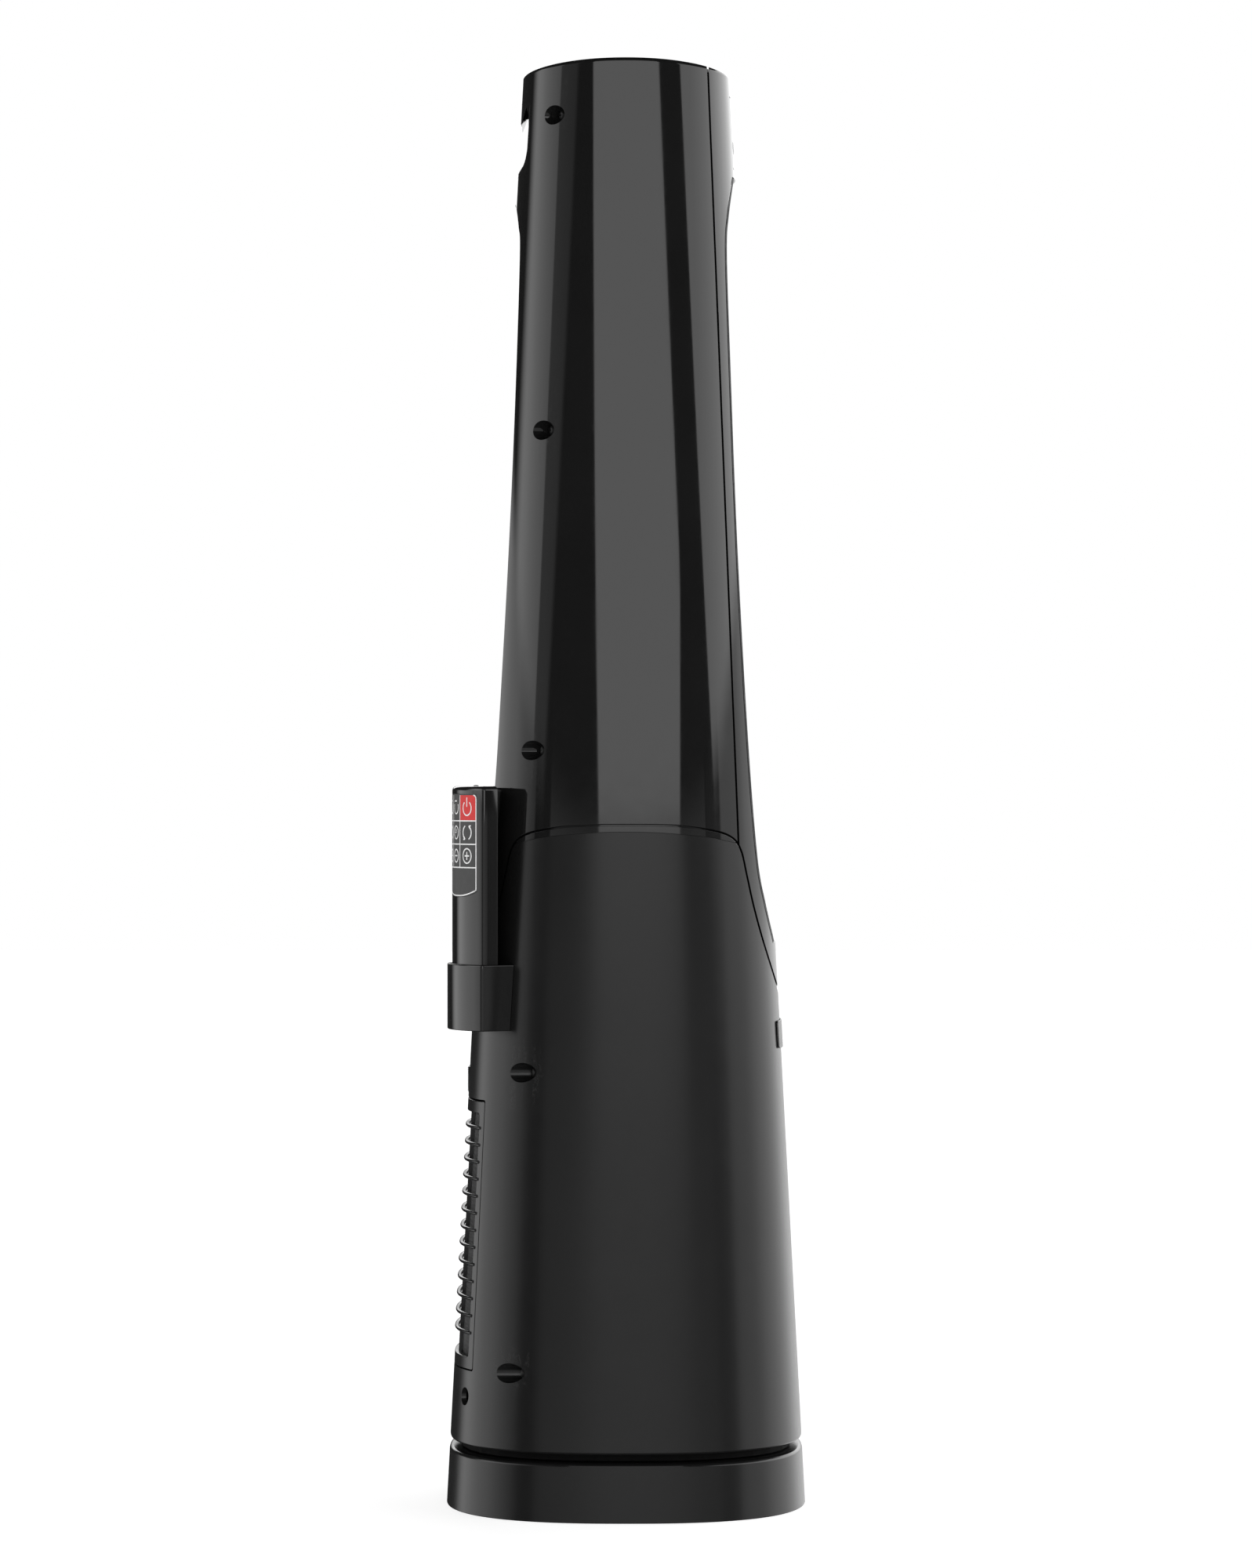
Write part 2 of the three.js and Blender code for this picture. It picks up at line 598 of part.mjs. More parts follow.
const OUTLET_LOW = 480;
const OUTLET_HIGH = 880;
const outletHalf = (z) => 38 - 0.03 * (z - OUTLET_LOW);
function outletOutline(margin) {
  const foot = outletHalf(OUTLET_LOW) + margin;
  const head = outletHalf(OUTLET_HIGH) + margin;
  const low = OUTLET_LOW - margin;
  const high = OUTLET_HIGH + margin;
  return outline([[-foot, low], [foot, low], [head, high], [-head, high]]);
}
const PANEL_LOW = 928;
const PANEL_HIGH = 978;
const PANEL_HALF = 19.5;

function buildFrontFrame() {
  const sunk = GRILLE_PLATE + 0.3;
  const shell = cut(columnForm(0, sunk), columnForm(WALL, sunk));
  const front = common(shell, aboveSeam(SEAM_GAP / 2), frontSide(SEAM_GAP / 2));
  const outlet = prismY(outletOutline(2.4), -130, -40);
  const seat = cut(
    box([-PANEL_HALF - 0.3, -100, PANEL_LOW - 0.3], [PANEL_HALF + 0.3, -30, PANEL_HIGH + 0.3]),
    taper(PANEL_LOW - 9, PANEL_HIGH + 9, 1.6),
  );
  const opening = box([-PANEL_HALF + 2, -100, PANEL_LOW + 4], [PANEL_HALF - 2, -40, PANEL_HIGH - 4]);
  return cut(front, outlet, seat, opening);
}
add(tower, "column_front_frame", buildFrontFrame(), GLOSS_BLACK);

const VANES = [-3, -2, -1, 0, 1, 2, 3];
const RIB_COUNT = 4;
// Band in (y, z) that follows the recess between two depths behind the finished face.
function recessBand(near, far) {
  const outer = RECESS_CURVE.map(([half, z]) => [-(half - near), z]);
  const inner = RECESS_CURVE.map(([half, z]) => [-(half - far), z]).reverse();
  return outline([...outer, ...inner]);
}

const VANE_PITCH = 8.6;
const VANE_HALF = 0.9;

function buildOutletGrille() {
  const leaf = common(
    taper(RECESS_BOTTOM + 6, RECESS_TOP - 4, 0.9),
    prismX(recessBand(0, GRILLE_PLATE), -80, 80),
  );
  const window = prismY(outletOutline(0), -130, -40);
  const reach = prismY(outletOutline(2), -130, -40);
  const frame = cut(common(prismX(recessBand(0.4, 12), -60, 60), reach), window);
  const vaneBand = recessBand(1.6, 11);
  const vanes = VANES.map((k) =>
    prismX(vaneBand, k * VANE_PITCH - VANE_HALF, k * VANE_PITCH + VANE_HALF));
  const ribs = [];
  for (let i = 1; i <= RIB_COUNT; i++) {
    const z = OUTLET_LOW + ((OUTLET_HIGH - OUTLET_LOW) * i) / (RIB_COUNT + 1);
    ribs.push(common(prismX(recessBand(3.5, 9), -60, 60), box([-60, -130, z - 1], [60, -40, z + 1])));
  }
  const bars = common(join(...vanes, ...ribs), prismY(outletOutline(1), -130, -40));
  return join(cut(leaf, window), frame, bars);
}
add(tower, "outlet_grille", buildOutletGrille(), MATTE_BLACK);

// ---------------------------------------------------------------- control panel
const BUTTONS = [
  { name: "power_button", x: 0, z: 962, radius: 5 },
  { name: "speed_button", x: -12.5, z: 943, radius: 4 },
  { name: "timer_button", x: 0, z: 943, radius: 4 },
  { name: "swing_button", x: 12.5, z: 943, radius: 4 },
];
const frontFace = (x, z) =>
  -halfDepth(z) * (1 - (Math.abs(x) / halfWidth(z)) ** PLAN_POWER) ** (1 / PLAN_POWER);

function buildPanel() {
  const plate = cut(taper(PANEL_LOW, PANEL_HIGH, 0), taper(PANEL_LOW - 5, PANEL_HIGH + 5, 1.2));
  const overlay = common(plate, box([-PANEL_HALF, -100, PANEL_LOW], [PANEL_HALF, -40, PANEL_HIGH]));
  const holes = BUTTONS.map(({ x, z, radius }) =>
    alongY(disc(radius + 0.4, -100, -20, 16)).translate([x, 0, z]));
  return cut(overlay, ...holes);
}
add(tower, "control_panel", buildPanel(), GLOSS_BLACK);

// Each cap is flush with the panel and follows its curve.
for (const { name, x, z, radius } of BUTTONS) {
  const face = frontFace(x, z);
  const spot = groupAt(root, x, face, z);
  const curve = taper(z - 10, z + 10, 0.1).translate([-x, -face, -z]);
  const cap = common(alongY(disc(radius, -3, 4.6, 16)), curve);
  const stem = alongY(disc(1.6, 4, 7.5, 8));
  add(spot, name, join(cap, stem), GREY_PLASTIC);
}

// Panel circuit board with the display and the switches on its front.
function buildPanelBoard() {
  const board = box([-24, -62.2, 934], [24, -60.6, 972]);
  const display = box([-20, -64.2, 953], [-8, -62, 970]);
  const socket = box([-8, -61, 936], [8, -55, 943]);
  return join(board, display, socket);
}
add(tower, "panel_board", buildPanelBoard(), BOARD_GREEN);

// Flat lead from the panel board down the back of the column to the power board.
function buildPanelLead() {
  const route = [[27, -56, 936], [40, 0, 890], [54, 20, 700], [66, 20, 520], [84, 20, 420], [87, 6, 330],
    [80, -40, 240], [58, -84, 190]];
  const path = new THREE.CatmullRomCurve3(route.map(([x, y, z]) => new THREE.Vector3(x, y, z)));
  const section = new THREE.Shape();
  section.absarc(0, 0, 2.2, 0, 2 * Math.PI, false);
  return solid(new THREE.ExtrudeGeometry(section, { steps: 20, extrudePath: path, curveSegments: 3 }));
}
add(tower, "panel_lead", buildPanelLead(), RUBBER);

// ---------------------------------------------------------------- fan
const SHAFT_RADIUS = 3;
const MOTOR_RADIUS = 33;
const MOTOR_LOW = 366;
const MOTOR_HIGH = 402;
const BLADE_COUNT = 9;

// Plate across the housing with a rounded inlet mouth under the impeller.
function buildInletRing() {
  const plate = taper(312, 314.5, WALL + 5.6);
  const mouth = turned([[49, 308], [51.5, 308], [53, 312], [53, 317], [50.5, 317], [49, 308]], 32);
  const ringPlate = cut(join(plate, ring(50, 56, 311, 314.5)), disc(50.5, 300, 330));
  const leadNotch = disc(6, 300, 330, 12).translate([88, 0, 0]);
  return cut(join(ringPlate, mouth), leadNotch);
}
add(tower, "inlet_ring", buildInletRing(), MATTE_BLACK);

// Outer duct, hub cup for the motor and the guide vanes that join them.
function buildDiffuser() {
  const duct = ring(DUCT_RADIUS, DUCT_RADIUS + 2.5, 316, 396, 36);
  const cup = cut(disc(38.5, 362, 396), disc(MOTOR_RADIUS + 0.6, 364.4, 410), disc(8, 350, 370, 16));
  const vane = box([36, -1.1, 366], [DUCT_RADIUS + 1, 1.1, 394]);
  const vanes = [];
  for (let i = 0; i < 8; i++) {
    vanes.push(vane.rotate([0, 0, 45 * i + 22.5]));
  }
  return join(duct, cup, ...vanes);
}
add(tower, "fan_diffuser", buildDiffuser(), GREY_PLASTIC);

function buildFanMotor() {
  const can = turned(
    [[0, MOTOR_LOW - 1], [MOTOR_RADIUS - 4, MOTOR_LOW - 1], [MOTOR_RADIUS, MOTOR_LOW + 3],
      [MOTOR_RADIUS, MOTOR_HIGH - 4], [MOTOR_RADIUS - 6, MOTOR_HIGH], [12, MOTOR_HIGH],
      [12, MOTOR_HIGH + 4], [0, MOTOR_HIGH + 4]],
    28,
  );
  return cut(can, disc(SHAFT_RADIUS + 0.5, 350, 390, 16));
}
add(tower, "fan_motor", buildFanMotor(), STEEL);

const fan = groupAt(root, 0, 0, 0);
function buildImpeller() {
  const back = disc(FAN_RADIUS, FAN_TOP - 2, FAN_TOP, 36);
  const shroud = ring(52, FAN_RADIUS, FAN_BOTTOM + 0.6, FAN_BOTTOM + 2.6, 36);
  const hub = disc(13, FAN_BOTTOM + 8, FAN_TOP, 20);
  const blade = new THREE.Shape();
  blade.absarc(48, -30, 44, radians(30), radians(112), false);
  blade.absarc(48, -30, 42.2, radians(112), radians(30), true);
  const within = ring(40, FAN_RADIUS - 0.5, FAN_BOTTOM + 1, FAN_TOP - 1, 36);
  const single = common(prismZ(blade, FAN_BOTTOM + 1, FAN_TOP - 1, 3), within);
  const blades = [];
  for (let i = 0; i < BLADE_COUNT; i++) {
    blades.push(single.rotate([0, 0, (360 / BLADE_COUNT) * i]));
  }
  return cut(join(back, shroud, hub, ...blades), disc(SHAFT_RADIUS + 0.3, 300, 380, 16));
}
add(fan, "impeller", buildImpeller(), GREY_PLASTIC);
add(fan, "motor_shaft", disc(SHAFT_RADIUS, FAN_BOTTOM + 2, MOTOR_HIGH - 14, 16), STEEL);

// Power board on the front wall of the intake chamber, with its larger parts.
function buildPowerBoard() {
  const board = box([-50, -98, 76], [50, -96.2, 206]);
  const transformer = box([-40, -96.6, 90], [-8, -70, 126]);
  const relay = box([4, -96.6, 92], [34, -80, 112]);
  const chip = box([-20, -96.6, 150], [10, -92, 172]);
  const capacitor = alongY(disc(9, 0, 24, 16)).translate([26, -96.6, 146]);
  return join(board, transformer, relay, chip, capacitor);
}
add(tower, "power_board", buildPowerBoard(), BOARD_GREEN);

// ---------------------------------------------------------------- intake door and filter
const DOOR_SIDE_GAP = 0.9;
const BAR_HALF = 1.3; // half the height of a bar
// Band in (x, y) along the back at height z, between two distances outside the plan.
function backBand(z, half, outside, inside) {
  const steps = 8;
  const outer = [];
  const inner = [];
  for (let i = 0; i <= steps; i++) {
    const x = -half + (2 * half * i) / steps;
    outer.push([x, -frontFace(x, z) + outside]);
    inner.push([x, -frontFace(x, z) + inside]);
  }
  return outline([...outer, ...inner.reverse()]);
}
const door = groupAt(root, 0, 0, 0);

function buildIntakeGrille() {
  const skin = cut(taper(90, 290, 0), taper(80, 300, 4));
  const panel = common(skin, prismY(doorOutline(DOOR_SIDE_GAP, DOOR_SIDE_GAP, 1.2), 60, 150));
  const frame = cut(panel, prismY(doorOutline(7.5, 9, 9.5), 60, 150));
  const reach = prismY(doorOutline(5, 5, 5), 60, 150);
  const bars = [];
  for (let i = 0; i < BAR_COUNT; i++) {
    const z = BAR_LOWEST + BAR_PITCH * i;
    bars.push(prismZ(backBand(z, doorHalf(z) - 5, 0.9, -2.5), z - BAR_HALF, z + BAR_HALF));
  }
  const ribBand = common(cut(taper(90, 290, 2.4), taper(80, 300, 5)), reach);
  const ribs = SIDES.map((side) =>
    common(ribBand, box([side * 22 - 1.2, 50, 90], [side * 22 + 1.2, 140, 290])));
  return join(frame, ...bars, ...ribs);
}
add(door, "intake_grille", buildIntakeGrille(), SATIN_BLACK);

const FILTER_HALF = 55;
const FILTER_LOW = 106;
const FILTER_HIGH = 266;
const FILTER_FRONT = 64;
const FILTER_BACK = 90;
function buildFilterFrame() {
  const block = box([-FILTER_HALF, FILTER_FRONT, FILTER_LOW], [FILTER_HALF, FILTER_BACK, FILTER_HIGH]);
  const window = box([-FILTER_HALF + 3, 0, FILTER_LOW + 3], [FILTER_HALF - 3, 200, FILTER_HIGH - 3]);
  return cut(block, window);
}
add(door, "filter_frame", buildFilterFrame(), WHITE_PLASTIC);

// Pleated filter pack, its folds running up the frame.
function buildFilterMedia() {
  const folds = 12;
  const width = 2 * (FILTER_HALF - 3.4);
  const near = FILTER_FRONT + 1.5;
  const far = FILTER_BACK - 4;
  const front = [];
  const back = [];
  for (let i = 0; i <= 2 * folds; i++) {
    const x = -width / 2 + (width * i) / (2 * folds);
    front.push([x, i % 2 ? far - 3 : near]);
    back.push([x, i % 2 ? far : near + 3]);
  }
  return prismZ(outline([...front, ...back.reverse()]), FILTER_LOW + 3.4, FILTER_HIGH - 3.4);
}
add(door, "filter_media", buildFilterMedia(), FILTER_PAPER);

// Black cloth stretched over the ribs behind the bars, which also hides the inside.
function buildCarbonSheet() {
  const layer = cut(taper(DOOR_BOTTOM, DOOR_TOP, 5.2), taper(DOOR_BOTTOM - 5, DOOR_TOP + 5, 7));
  return common(layer, prismY(doorOutline(3.5, 5, 5.5), 60, 150));
}
add(door, "carbon_sheet", buildCarbonSheet(), CARBON);

// Ribbed slide that frees the top of the door.
function buildLatch() {
  const face = halfDepth(LATCH_TOP);
  const grip = box([-LATCH_HALF, face - 5, LATCH_BOTTOM], [LATCH_HALF, face + 0.8, LATCH_TOP]);
  const flange = box(
    [-LATCH_HALF - 3, face - 6.5, LATCH_BOTTOM - 2.6],
    [LATCH_HALF + 3, face - 4.4, LATCH_TOP + 1],
  );
  const ribs = [];
  for (let i = 0; i < 9; i++) {
    const z = LATCH_BOTTOM + 1 + i * 2;
    ribs.push(box([-LATCH_HALF + 1.5, face, z - 0.1], [LATCH_HALF - 1.5, face + 1.5, z + 0.8]));
  }
  return join(grip, flange, ...ribs);
}
add(groupAt(root, 0, 0, 0), "door_latch", buildLatch(), SATIN_BLACK);

// ---------------------------------------------------------------- remote control and its holder
// Their shared frame: x runs to the far side, y points outwards and the arcs are centred on its origin.
function remoteGroup() {
  const group = groupAt(root, HOLDER_CENTRE[0], HOLDER_CENTRE[1], 0);
  group.rotation.z = radians(HOLDER_YAW);
  return group;
}

// Outline with an outer arc and straight sides back to a given depth.
function arcOutline(radius, half, backLeft, backRight) {
  const reach = Math.asin(half / radius);
  const shape = new THREE.Shape();
  shape.moveTo(half, backRight);
  shape.lineTo(half, radius * Math.cos(reach));
  shape.absarc(0, 0, radius, Math.PI / 2 - reach, Math.PI / 2 + reach, false);
  shape.lineTo(-half, backLeft);
  shape.closePath();
  return shape;
}
const REMOTE_BACK = Math.sqrt(REMOTE_ARC ** 2 - REMOTE_HALF ** 2) - REMOTE_EDGE;

function housingInHolder(inset) {
  const form = taper(HOLDER_BOTTOM - 5, HOLDER_TOP + 5, inset);
  return form.translate([-HOLDER_CENTRE[0], -HOLDER_CENTRE[1], 0]).rotate([0, 0, -HOLDER_YAW]);
}

function buildHolder() {
  const block = prismZ(arcOutline(HOLDER_ARC, HOLDER_HALF, 28, 34), HOLDER_BOTTOM, HOLDER_TOP);
  const play = 0.5;
  const pocket = prismZ(
    arcOutline(REMOTE_ARC + play, REMOTE_HALF + play, REMOTE_BACK - play, REMOTE_BACK - play),
    REMOTE_BOTTOM - play,
    HOLDER_TOP + 5,
  );
  const trayWay = box(
    [-13, REMOTE_BACK + 2, HOLDER_BOTTOM - 5],
    [13, REMOTE_BACK + 9, HOLDER_BOTTOM + 10],
  );
  const hollow = box(
    [-HOLDER_HALF + 4, 20, HOLDER_BOTTOM - 5],
    [HOLDER_HALF - 4, REMOTE_BACK - 3, HOLDER_TOP - 2.5],
  );
  return cut(block, housingInHolder(-GAP), pocket, trayWay, hollow);
}
add(remoteGroup(), "remote_holder", buildHolder(), GLOSS_BLACK);

const REMOTE_SPLIT = REMOTE_BACK + 6;
const MEMBRANE_LOW = 421;
const MEMBRANE_HIGH = 494;
const MEMBRANE_HALF = 23.5;
const TRAY_HALF = 11;
const TRAY_HEIGHT = 28;
const remote = remoteGroup();

const remoteForm = () =>
  prismZ(arcOutline(REMOTE_ARC, REMOTE_HALF, REMOTE_BACK, REMOTE_BACK), REMOTE_BOTTOM, REMOTE_TOP);
const traySlot = (margin) =>
  box(
    [-TRAY_HALF - margin, REMOTE_BACK + 3 - margin, REMOTE_BOTTOM - 1],
    [TRAY_HALF + margin, REMOTE_BACK + 5.4 + margin, REMOTE_BOTTOM + TRAY_HEIGHT + margin],
  );
// Shallow seat of the key membrane in the remote's face.
function membraneBand(depth, margin) {
  const face = arcOutline(REMOTE_ARC + 1, REMOTE_HALF, 40, 40);
  const outer = prismZ(face, MEMBRANE_LOW - margin, MEMBRANE_HIGH + margin);
  const inner = disc(REMOTE_ARC - depth, MEMBRANE_LOW - 9, MEMBRANE_HIGH + 9, 90);
  const side = MEMBRANE_HALF + margin;
  return common(cut(outer, inner), box([-side, 30, MEMBRANE_LOW - 9], [side, 80, MEMBRANE_HIGH + 9]));
}

const upperHalf = box([-40, REMOTE_SPLIT, 300], [40, 90, 520]);
const lowerHalf = box([-40, 20, 300], [40, REMOTE_SPLIT - 0.3, 520]);
add(remote, "remote_front", cut(common(remoteForm(), upperHalf), membraneBand(1.1, 0.3)), GLOSS_BLACK);
add(remote, "remote_back", cut(common(remoteForm(), lowerHalf), traySlot(0.3)), GLOSS_BLACK);
add(
  remote,
  "remote_keypad",
  common(membraneBand(0.8, 0), disc(REMOTE_ARC + 0.1, MEMBRANE_LOW - 5, MEMBRANE_HIGH + 5, 90)),
  LABEL_GREY,
);
const trayGroup = remoteGroup();
// Flat tray with a round recess for the coin cell.
function buildTray() {
  const back = REMOTE_BACK + 3;
  const slab = box(
    [-TRAY_HALF, back, REMOTE_BOTTOM],
    [TRAY_HALF, back + 2.4, REMOTE_BOTTOM + TRAY_HEIGHT],
  );
  return cut(slab, alongY(disc(10, 0, 10, 20)).translate([0, back + 0.8, REMOTE_BOTTOM + 15]));
}
add(trayGroup, "battery_tray", buildTray(), MATTE_BLACK);

// ---------------------------------------------------------------- screws in the back
POCKETS.forEach((place, i) => {
  SIDES.forEach((side) => {
    const level = i < 2 ? `housing_screw_${i + 1}` : `column_screw_${i - 1}`;
    const name = `${level}_${side < 0 ? "left" : "right"}`;
    add(tower, name, atPocket(pocketScrew(), place, side), STEEL);
  });
});

export default root;
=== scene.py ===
"""Looks of the tower air purifier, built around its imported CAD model.

Lengths are millimetres until a mesh is made, then metres. The front faces -Y, the intake door +Y, and
the remote control is on the -X side of the back.
"""

import math
from functools import reduce

import bmesh
import bpy
import numpy as np
from mathutils import Matrix, Vector


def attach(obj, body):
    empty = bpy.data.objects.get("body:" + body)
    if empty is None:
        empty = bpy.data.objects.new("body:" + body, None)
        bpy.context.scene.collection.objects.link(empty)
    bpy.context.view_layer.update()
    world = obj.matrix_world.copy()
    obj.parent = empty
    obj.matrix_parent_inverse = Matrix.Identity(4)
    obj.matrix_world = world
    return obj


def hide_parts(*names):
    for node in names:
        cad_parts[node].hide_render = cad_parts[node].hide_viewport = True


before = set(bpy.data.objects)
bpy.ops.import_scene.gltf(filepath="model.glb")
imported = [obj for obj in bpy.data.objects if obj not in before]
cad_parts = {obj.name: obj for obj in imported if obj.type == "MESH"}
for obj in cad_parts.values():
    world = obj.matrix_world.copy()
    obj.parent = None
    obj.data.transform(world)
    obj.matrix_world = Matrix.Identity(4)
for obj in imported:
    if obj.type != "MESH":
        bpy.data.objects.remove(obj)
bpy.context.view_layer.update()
scene = bpy.context.scene

# ------- dimensions
MM = 0.001
PLAN_POWER = 2.5
PLAN_POINTS = 160
HEIGHT = 1000
WALL = 3
GAP = 0.4
WIDTH_TAPER, DEPTH_TAPER = 0.0615, 0.0528  # loss of half width and half depth per mm of height
TOP_FILLET = 3
CROWN = 0.00125  # the top falls by this times the square of y
FORM_LOW, FORM_STEP, FORM_ROWS = 330, 41.25, 16  # rows of the column's form below its top edge
BASE_BOTTOM, BASE_TOP = 0.4, 40.2
HOUSING_BOTTOM = 46
SHOULDER = 472
SEAM_HALF = 0.6
RECESS_TOP, RECESS_BOTTOM = 921.7, 390
SCOOP_TOP = 904
GRILLE_PLATE = 1.2
FRAME_SUNK = GRILLE_PLATE + 0.3  # the front frame's recess lies this far behind the finished face
WELL_RADIUS, WELL_FLOOR, HUB_RADIUS = 59.8, 16, 20
DOOR_BOTTOM, DOOR_TOP, DOOR_FRACTION = 97, 282.7, 0.6
BAR_COUNT, BAR_PITCH, BAR_LOWEST = 13, 11.7, 122.8
LATCH_BOTTOM, LATCH_TOP, LATCH_HALF = 285, 303, 14
POCKET_RADIUS = 6.7
POCKETS = [(99, 78), (303, 70.5), (523, 65), (743, 58.7), (961, 52)]  # (z, y)
SIDES = (-1, 1)
HOLDER_BOTTOM, HOLDER_TOP = 331, 376.3
HOLDER_YAW = 22
SIDE_LEAN = 0.09  # the side walls of the holder and the remote lean in towards the back
HOLDER_CENTRE = (-38.8, 56.4)
HOLDER_ARC, HOLDER_HALF = 67.2, 33
REMOTE_ARC, REMOTE_HALF, REMOTE_EDGE = 63.8, 30, 11.4
REMOTE_BOTTOM, REMOTE_TOP = 333.5, 498.5
REMOTE_BACK = math.sqrt(REMOTE_ARC**2 - REMOTE_HALF**2) - REMOTE_EDGE
REMOTE_SPLIT = REMOTE_BACK + 6
HANDLE_HALF, HANDLE_LOW, HANDLE_HIGH = 36, 922, 973
OUTLET_LOW, OUTLET_HIGH, OUTLET_PLAY = 480, 880, 2.4
PANEL_LOW, PANEL_HIGH, PANEL_HALF = 928, 978, 19.5
GLAND_HEIGHT = 21
BUTTONS = [("power", 0, 962, 5), ("speed", -12.5, 943, 4), ("timer", 0, 943, 4), ("swing", 12.5, 943, 4)]
BADGE_LOW, BADGE_HIGH, BADGE_HALF = 317, 336, 38

# Side outlines as (distance from the axis, z).
RECESS_POINTS = [(75.2, RECESS_TOP), (71.4, 895), (69.8, 868), (71.9, 796), (76.8, 664), (84, 532),
                 (90.6, 450), (96.6, 417), (103.2, RECESS_BOTTOM)]
SCOOP_POINTS = [(76.8, SCOOP_TOP), (74.6, 887), (73.6, 865), (76.7, 763), (80.9, 664), (86.3, 565),
                (90.4, 499), (96, 436), (103.2, RECESS_BOTTOM)]
SEAM_POINTS = [(0, SHOULDER), (35, 471.4), (60, 468), (73, 463), (79, 454), (83, 437), (88, 415), (96, 387),
               (110, 345)]

# Extents of the cutting tools, all well outside the object.
SIDE_REACH, DEEP_REACH = 150, 200


def half_depth(z):
    return 125 - DEPTH_TAPER * z


def half_width(z):
    return 125 - WIDTH_TAPER * z


def plan_y(x, z, inset=0.0):
    """Half depth of the plan at one x."""
    share = min(1.0, abs(x) / (half_width(z) - inset))
    return (half_depth(z) - inset) * (1 - share**PLAN_POWER) ** (1 / PLAN_POWER)


def plan_ring(z, inset=0.0, count=PLAN_POINTS):
    wide, deep = half_width(z) - inset, half_depth(z) - inset
    ring = []
    for i in range(count):
        c, s = math.cos(math.tau * i / count), math.sin(math.tau * i / count)
        r = (abs(c / wide) ** PLAN_POWER + abs(s / deep) ** PLAN_POWER) ** (-1 / PLAN_POWER)
        ring.append((r * c, r * s, z))
    return ring


def smooth(points, per_span):
    """Catmull-Rom samples through the given points."""
    p = [np.array(q, float) for q in (points[0], *points, points[-1])]
    out = []
    for a, b, c, d in zip(p, p[1:], p[2:], p[3:]):
        for i in range(per_span):
            t = i / per_span
            square, cube = 2 * a - 5 * b + 4 * c - d, 3 * b - a - 3 * c + d
            out.append(tuple(0.5 * (2 * b + (c - a) * t + square * t * t + cube * t**3)))
    return [*out, tuple(p[-1])]


# ------- solids
def link(name, bm):
    mesh = bpy.data.meshes.new(name)
    bm.to_mesh(mesh)
    bm.free()
    obj = bpy.data.objects.new(name, mesh)
    scene.collection.objects.link(obj)
    return obj


def duplicate(obj):
    copy = obj.copy()
    copy.data = obj.data.copy()
    scene.collection.objects.link(copy)
    return copy


def discard(obj):
    mesh = obj.data
    bpy.data.objects.remove(obj)
    bpy.data.meshes.remove(mesh)


def solids(stacks):
    """Closed meshes through (rings of points, tube) pairs, with flat ends unless joined as a tube."""
    bm = bmesh.new()
    for rings, tube in stacks:
        rows = [[bm.verts.new(Vector(p) * MM) for p in ring] for ring in rings]
        pairs = list(zip(rows, rows[1:]))
        if tube:
            pairs.append((rows[-1], rows[0]))
        for low, high in pairs:
            for i in range(len(low)):
                j = (i + 1) % len(low)
                bm.faces.new((low[i], low[j], high[j], high[i]))
        if not tube:
            bm.faces.new(rows[0])
            bm.faces.new(rows[-1])
    bmesh.ops.recalc_face_normals(bm, faces=bm.faces)
    return link("part", bm)


def solid(rings, tube=False):
    return solids([(rings, tube)])


def prism(axis, points, low, high):
    """A flat outline swept along an axis: (y, z) along X, (x, z) along Y or (x, y) along Z."""
    place = {
        "x": lambda a, b, c: (c, a, b),
        "y": lambda a, b, c: (a, c, b),
        "z": lambda a, b, c: (a, b, c),
    }[axis]
    return solid([[place(a, b, c) for a, b in points] for c in (low, high)])


def side_tool(points):
    """A (y, z) outline swept right through the object."""
    return prism("x", points, -SIDE_REACH, SIDE_REACH)


def front_tool(points):
    """An (x, z) outline swept through the front wall of the column."""
    return prism("y", points, -130, -40)


def back_tool(points):
    """An (x, z) outline swept through the back wall of the housing."""
    return prism("y", points, 60, 150)


def block(x0, x1, y0, y1, z0, z1):
    return prism("z", [(x0, y0), (x1, y0), (x1, y1), (x0, y1)], z0, z1)


def taper(low, high, inset, step=40):
    rows = max(1, round((high - low) / step))
    return solid([plan_ring(low + (high - low) * i / rows, inset) for i in range(rows + 1)])


def lathe(profile, count=64, tube=False):
    """(radius, z) points turned about Z."""
    turn = [(math.cos(math.tau * i / count), math.sin(math.tau * i / count)) for i in range(count)]
    return solid([[(r * c, r * s, z) for c, s in turn] for r, z in profile], tube)


def disc(radius, low, high, count=64):
    return lathe([(radius, low), (radius, high)], count)


def moved(obj, *steps):
    """The mesh turned and moved: each step is an (x, y, z) shift in millimetres or (axis, degrees)."""
    for step in steps:
        if isinstance(step[0], str):
            obj.data.transform(Matrix.Rotation(math.radians(step[1]), 4, step[0]))
        else:
            obj.data.transform(Matrix.Translation(Vector(step) * MM))
    return obj


def along_y(obj, x, y, z):
    """Stands an upright solid along +Y, with its foot at the point."""
    return moved(obj, ("X", -90), (x, y, z))


def bake(obj):
    """Applies the modifiers."""
    graph = bpy.context.evaluated_depsgraph_get()
    mesh = bpy.data.meshes.new_from_object(obj.evaluated_get(graph), depsgraph=graph)
    obj.modifiers.clear()
    old = obj.data
    obj.data = mesh
    bpy.data.meshes.remove(old)
    return obj


def combine(obj, operation, tools):
    for tool in tools:
        modifier = obj.modifiers.new("combine", "BOOLEAN")
        modifier.operation = operation
        modifier.solver = "MANIFOLD"
        modifier.object = tool
    bake(obj)
    for tool in tools:
        discard(tool)
    return obj


def cut(obj, *tools):
    return combine(obj, "DIFFERENCE", tools)


def join(obj, *tools):
    return combine(obj, "UNION", tools)


def common(obj, *tools):
    return combine(obj, "INTERSECT", tools)


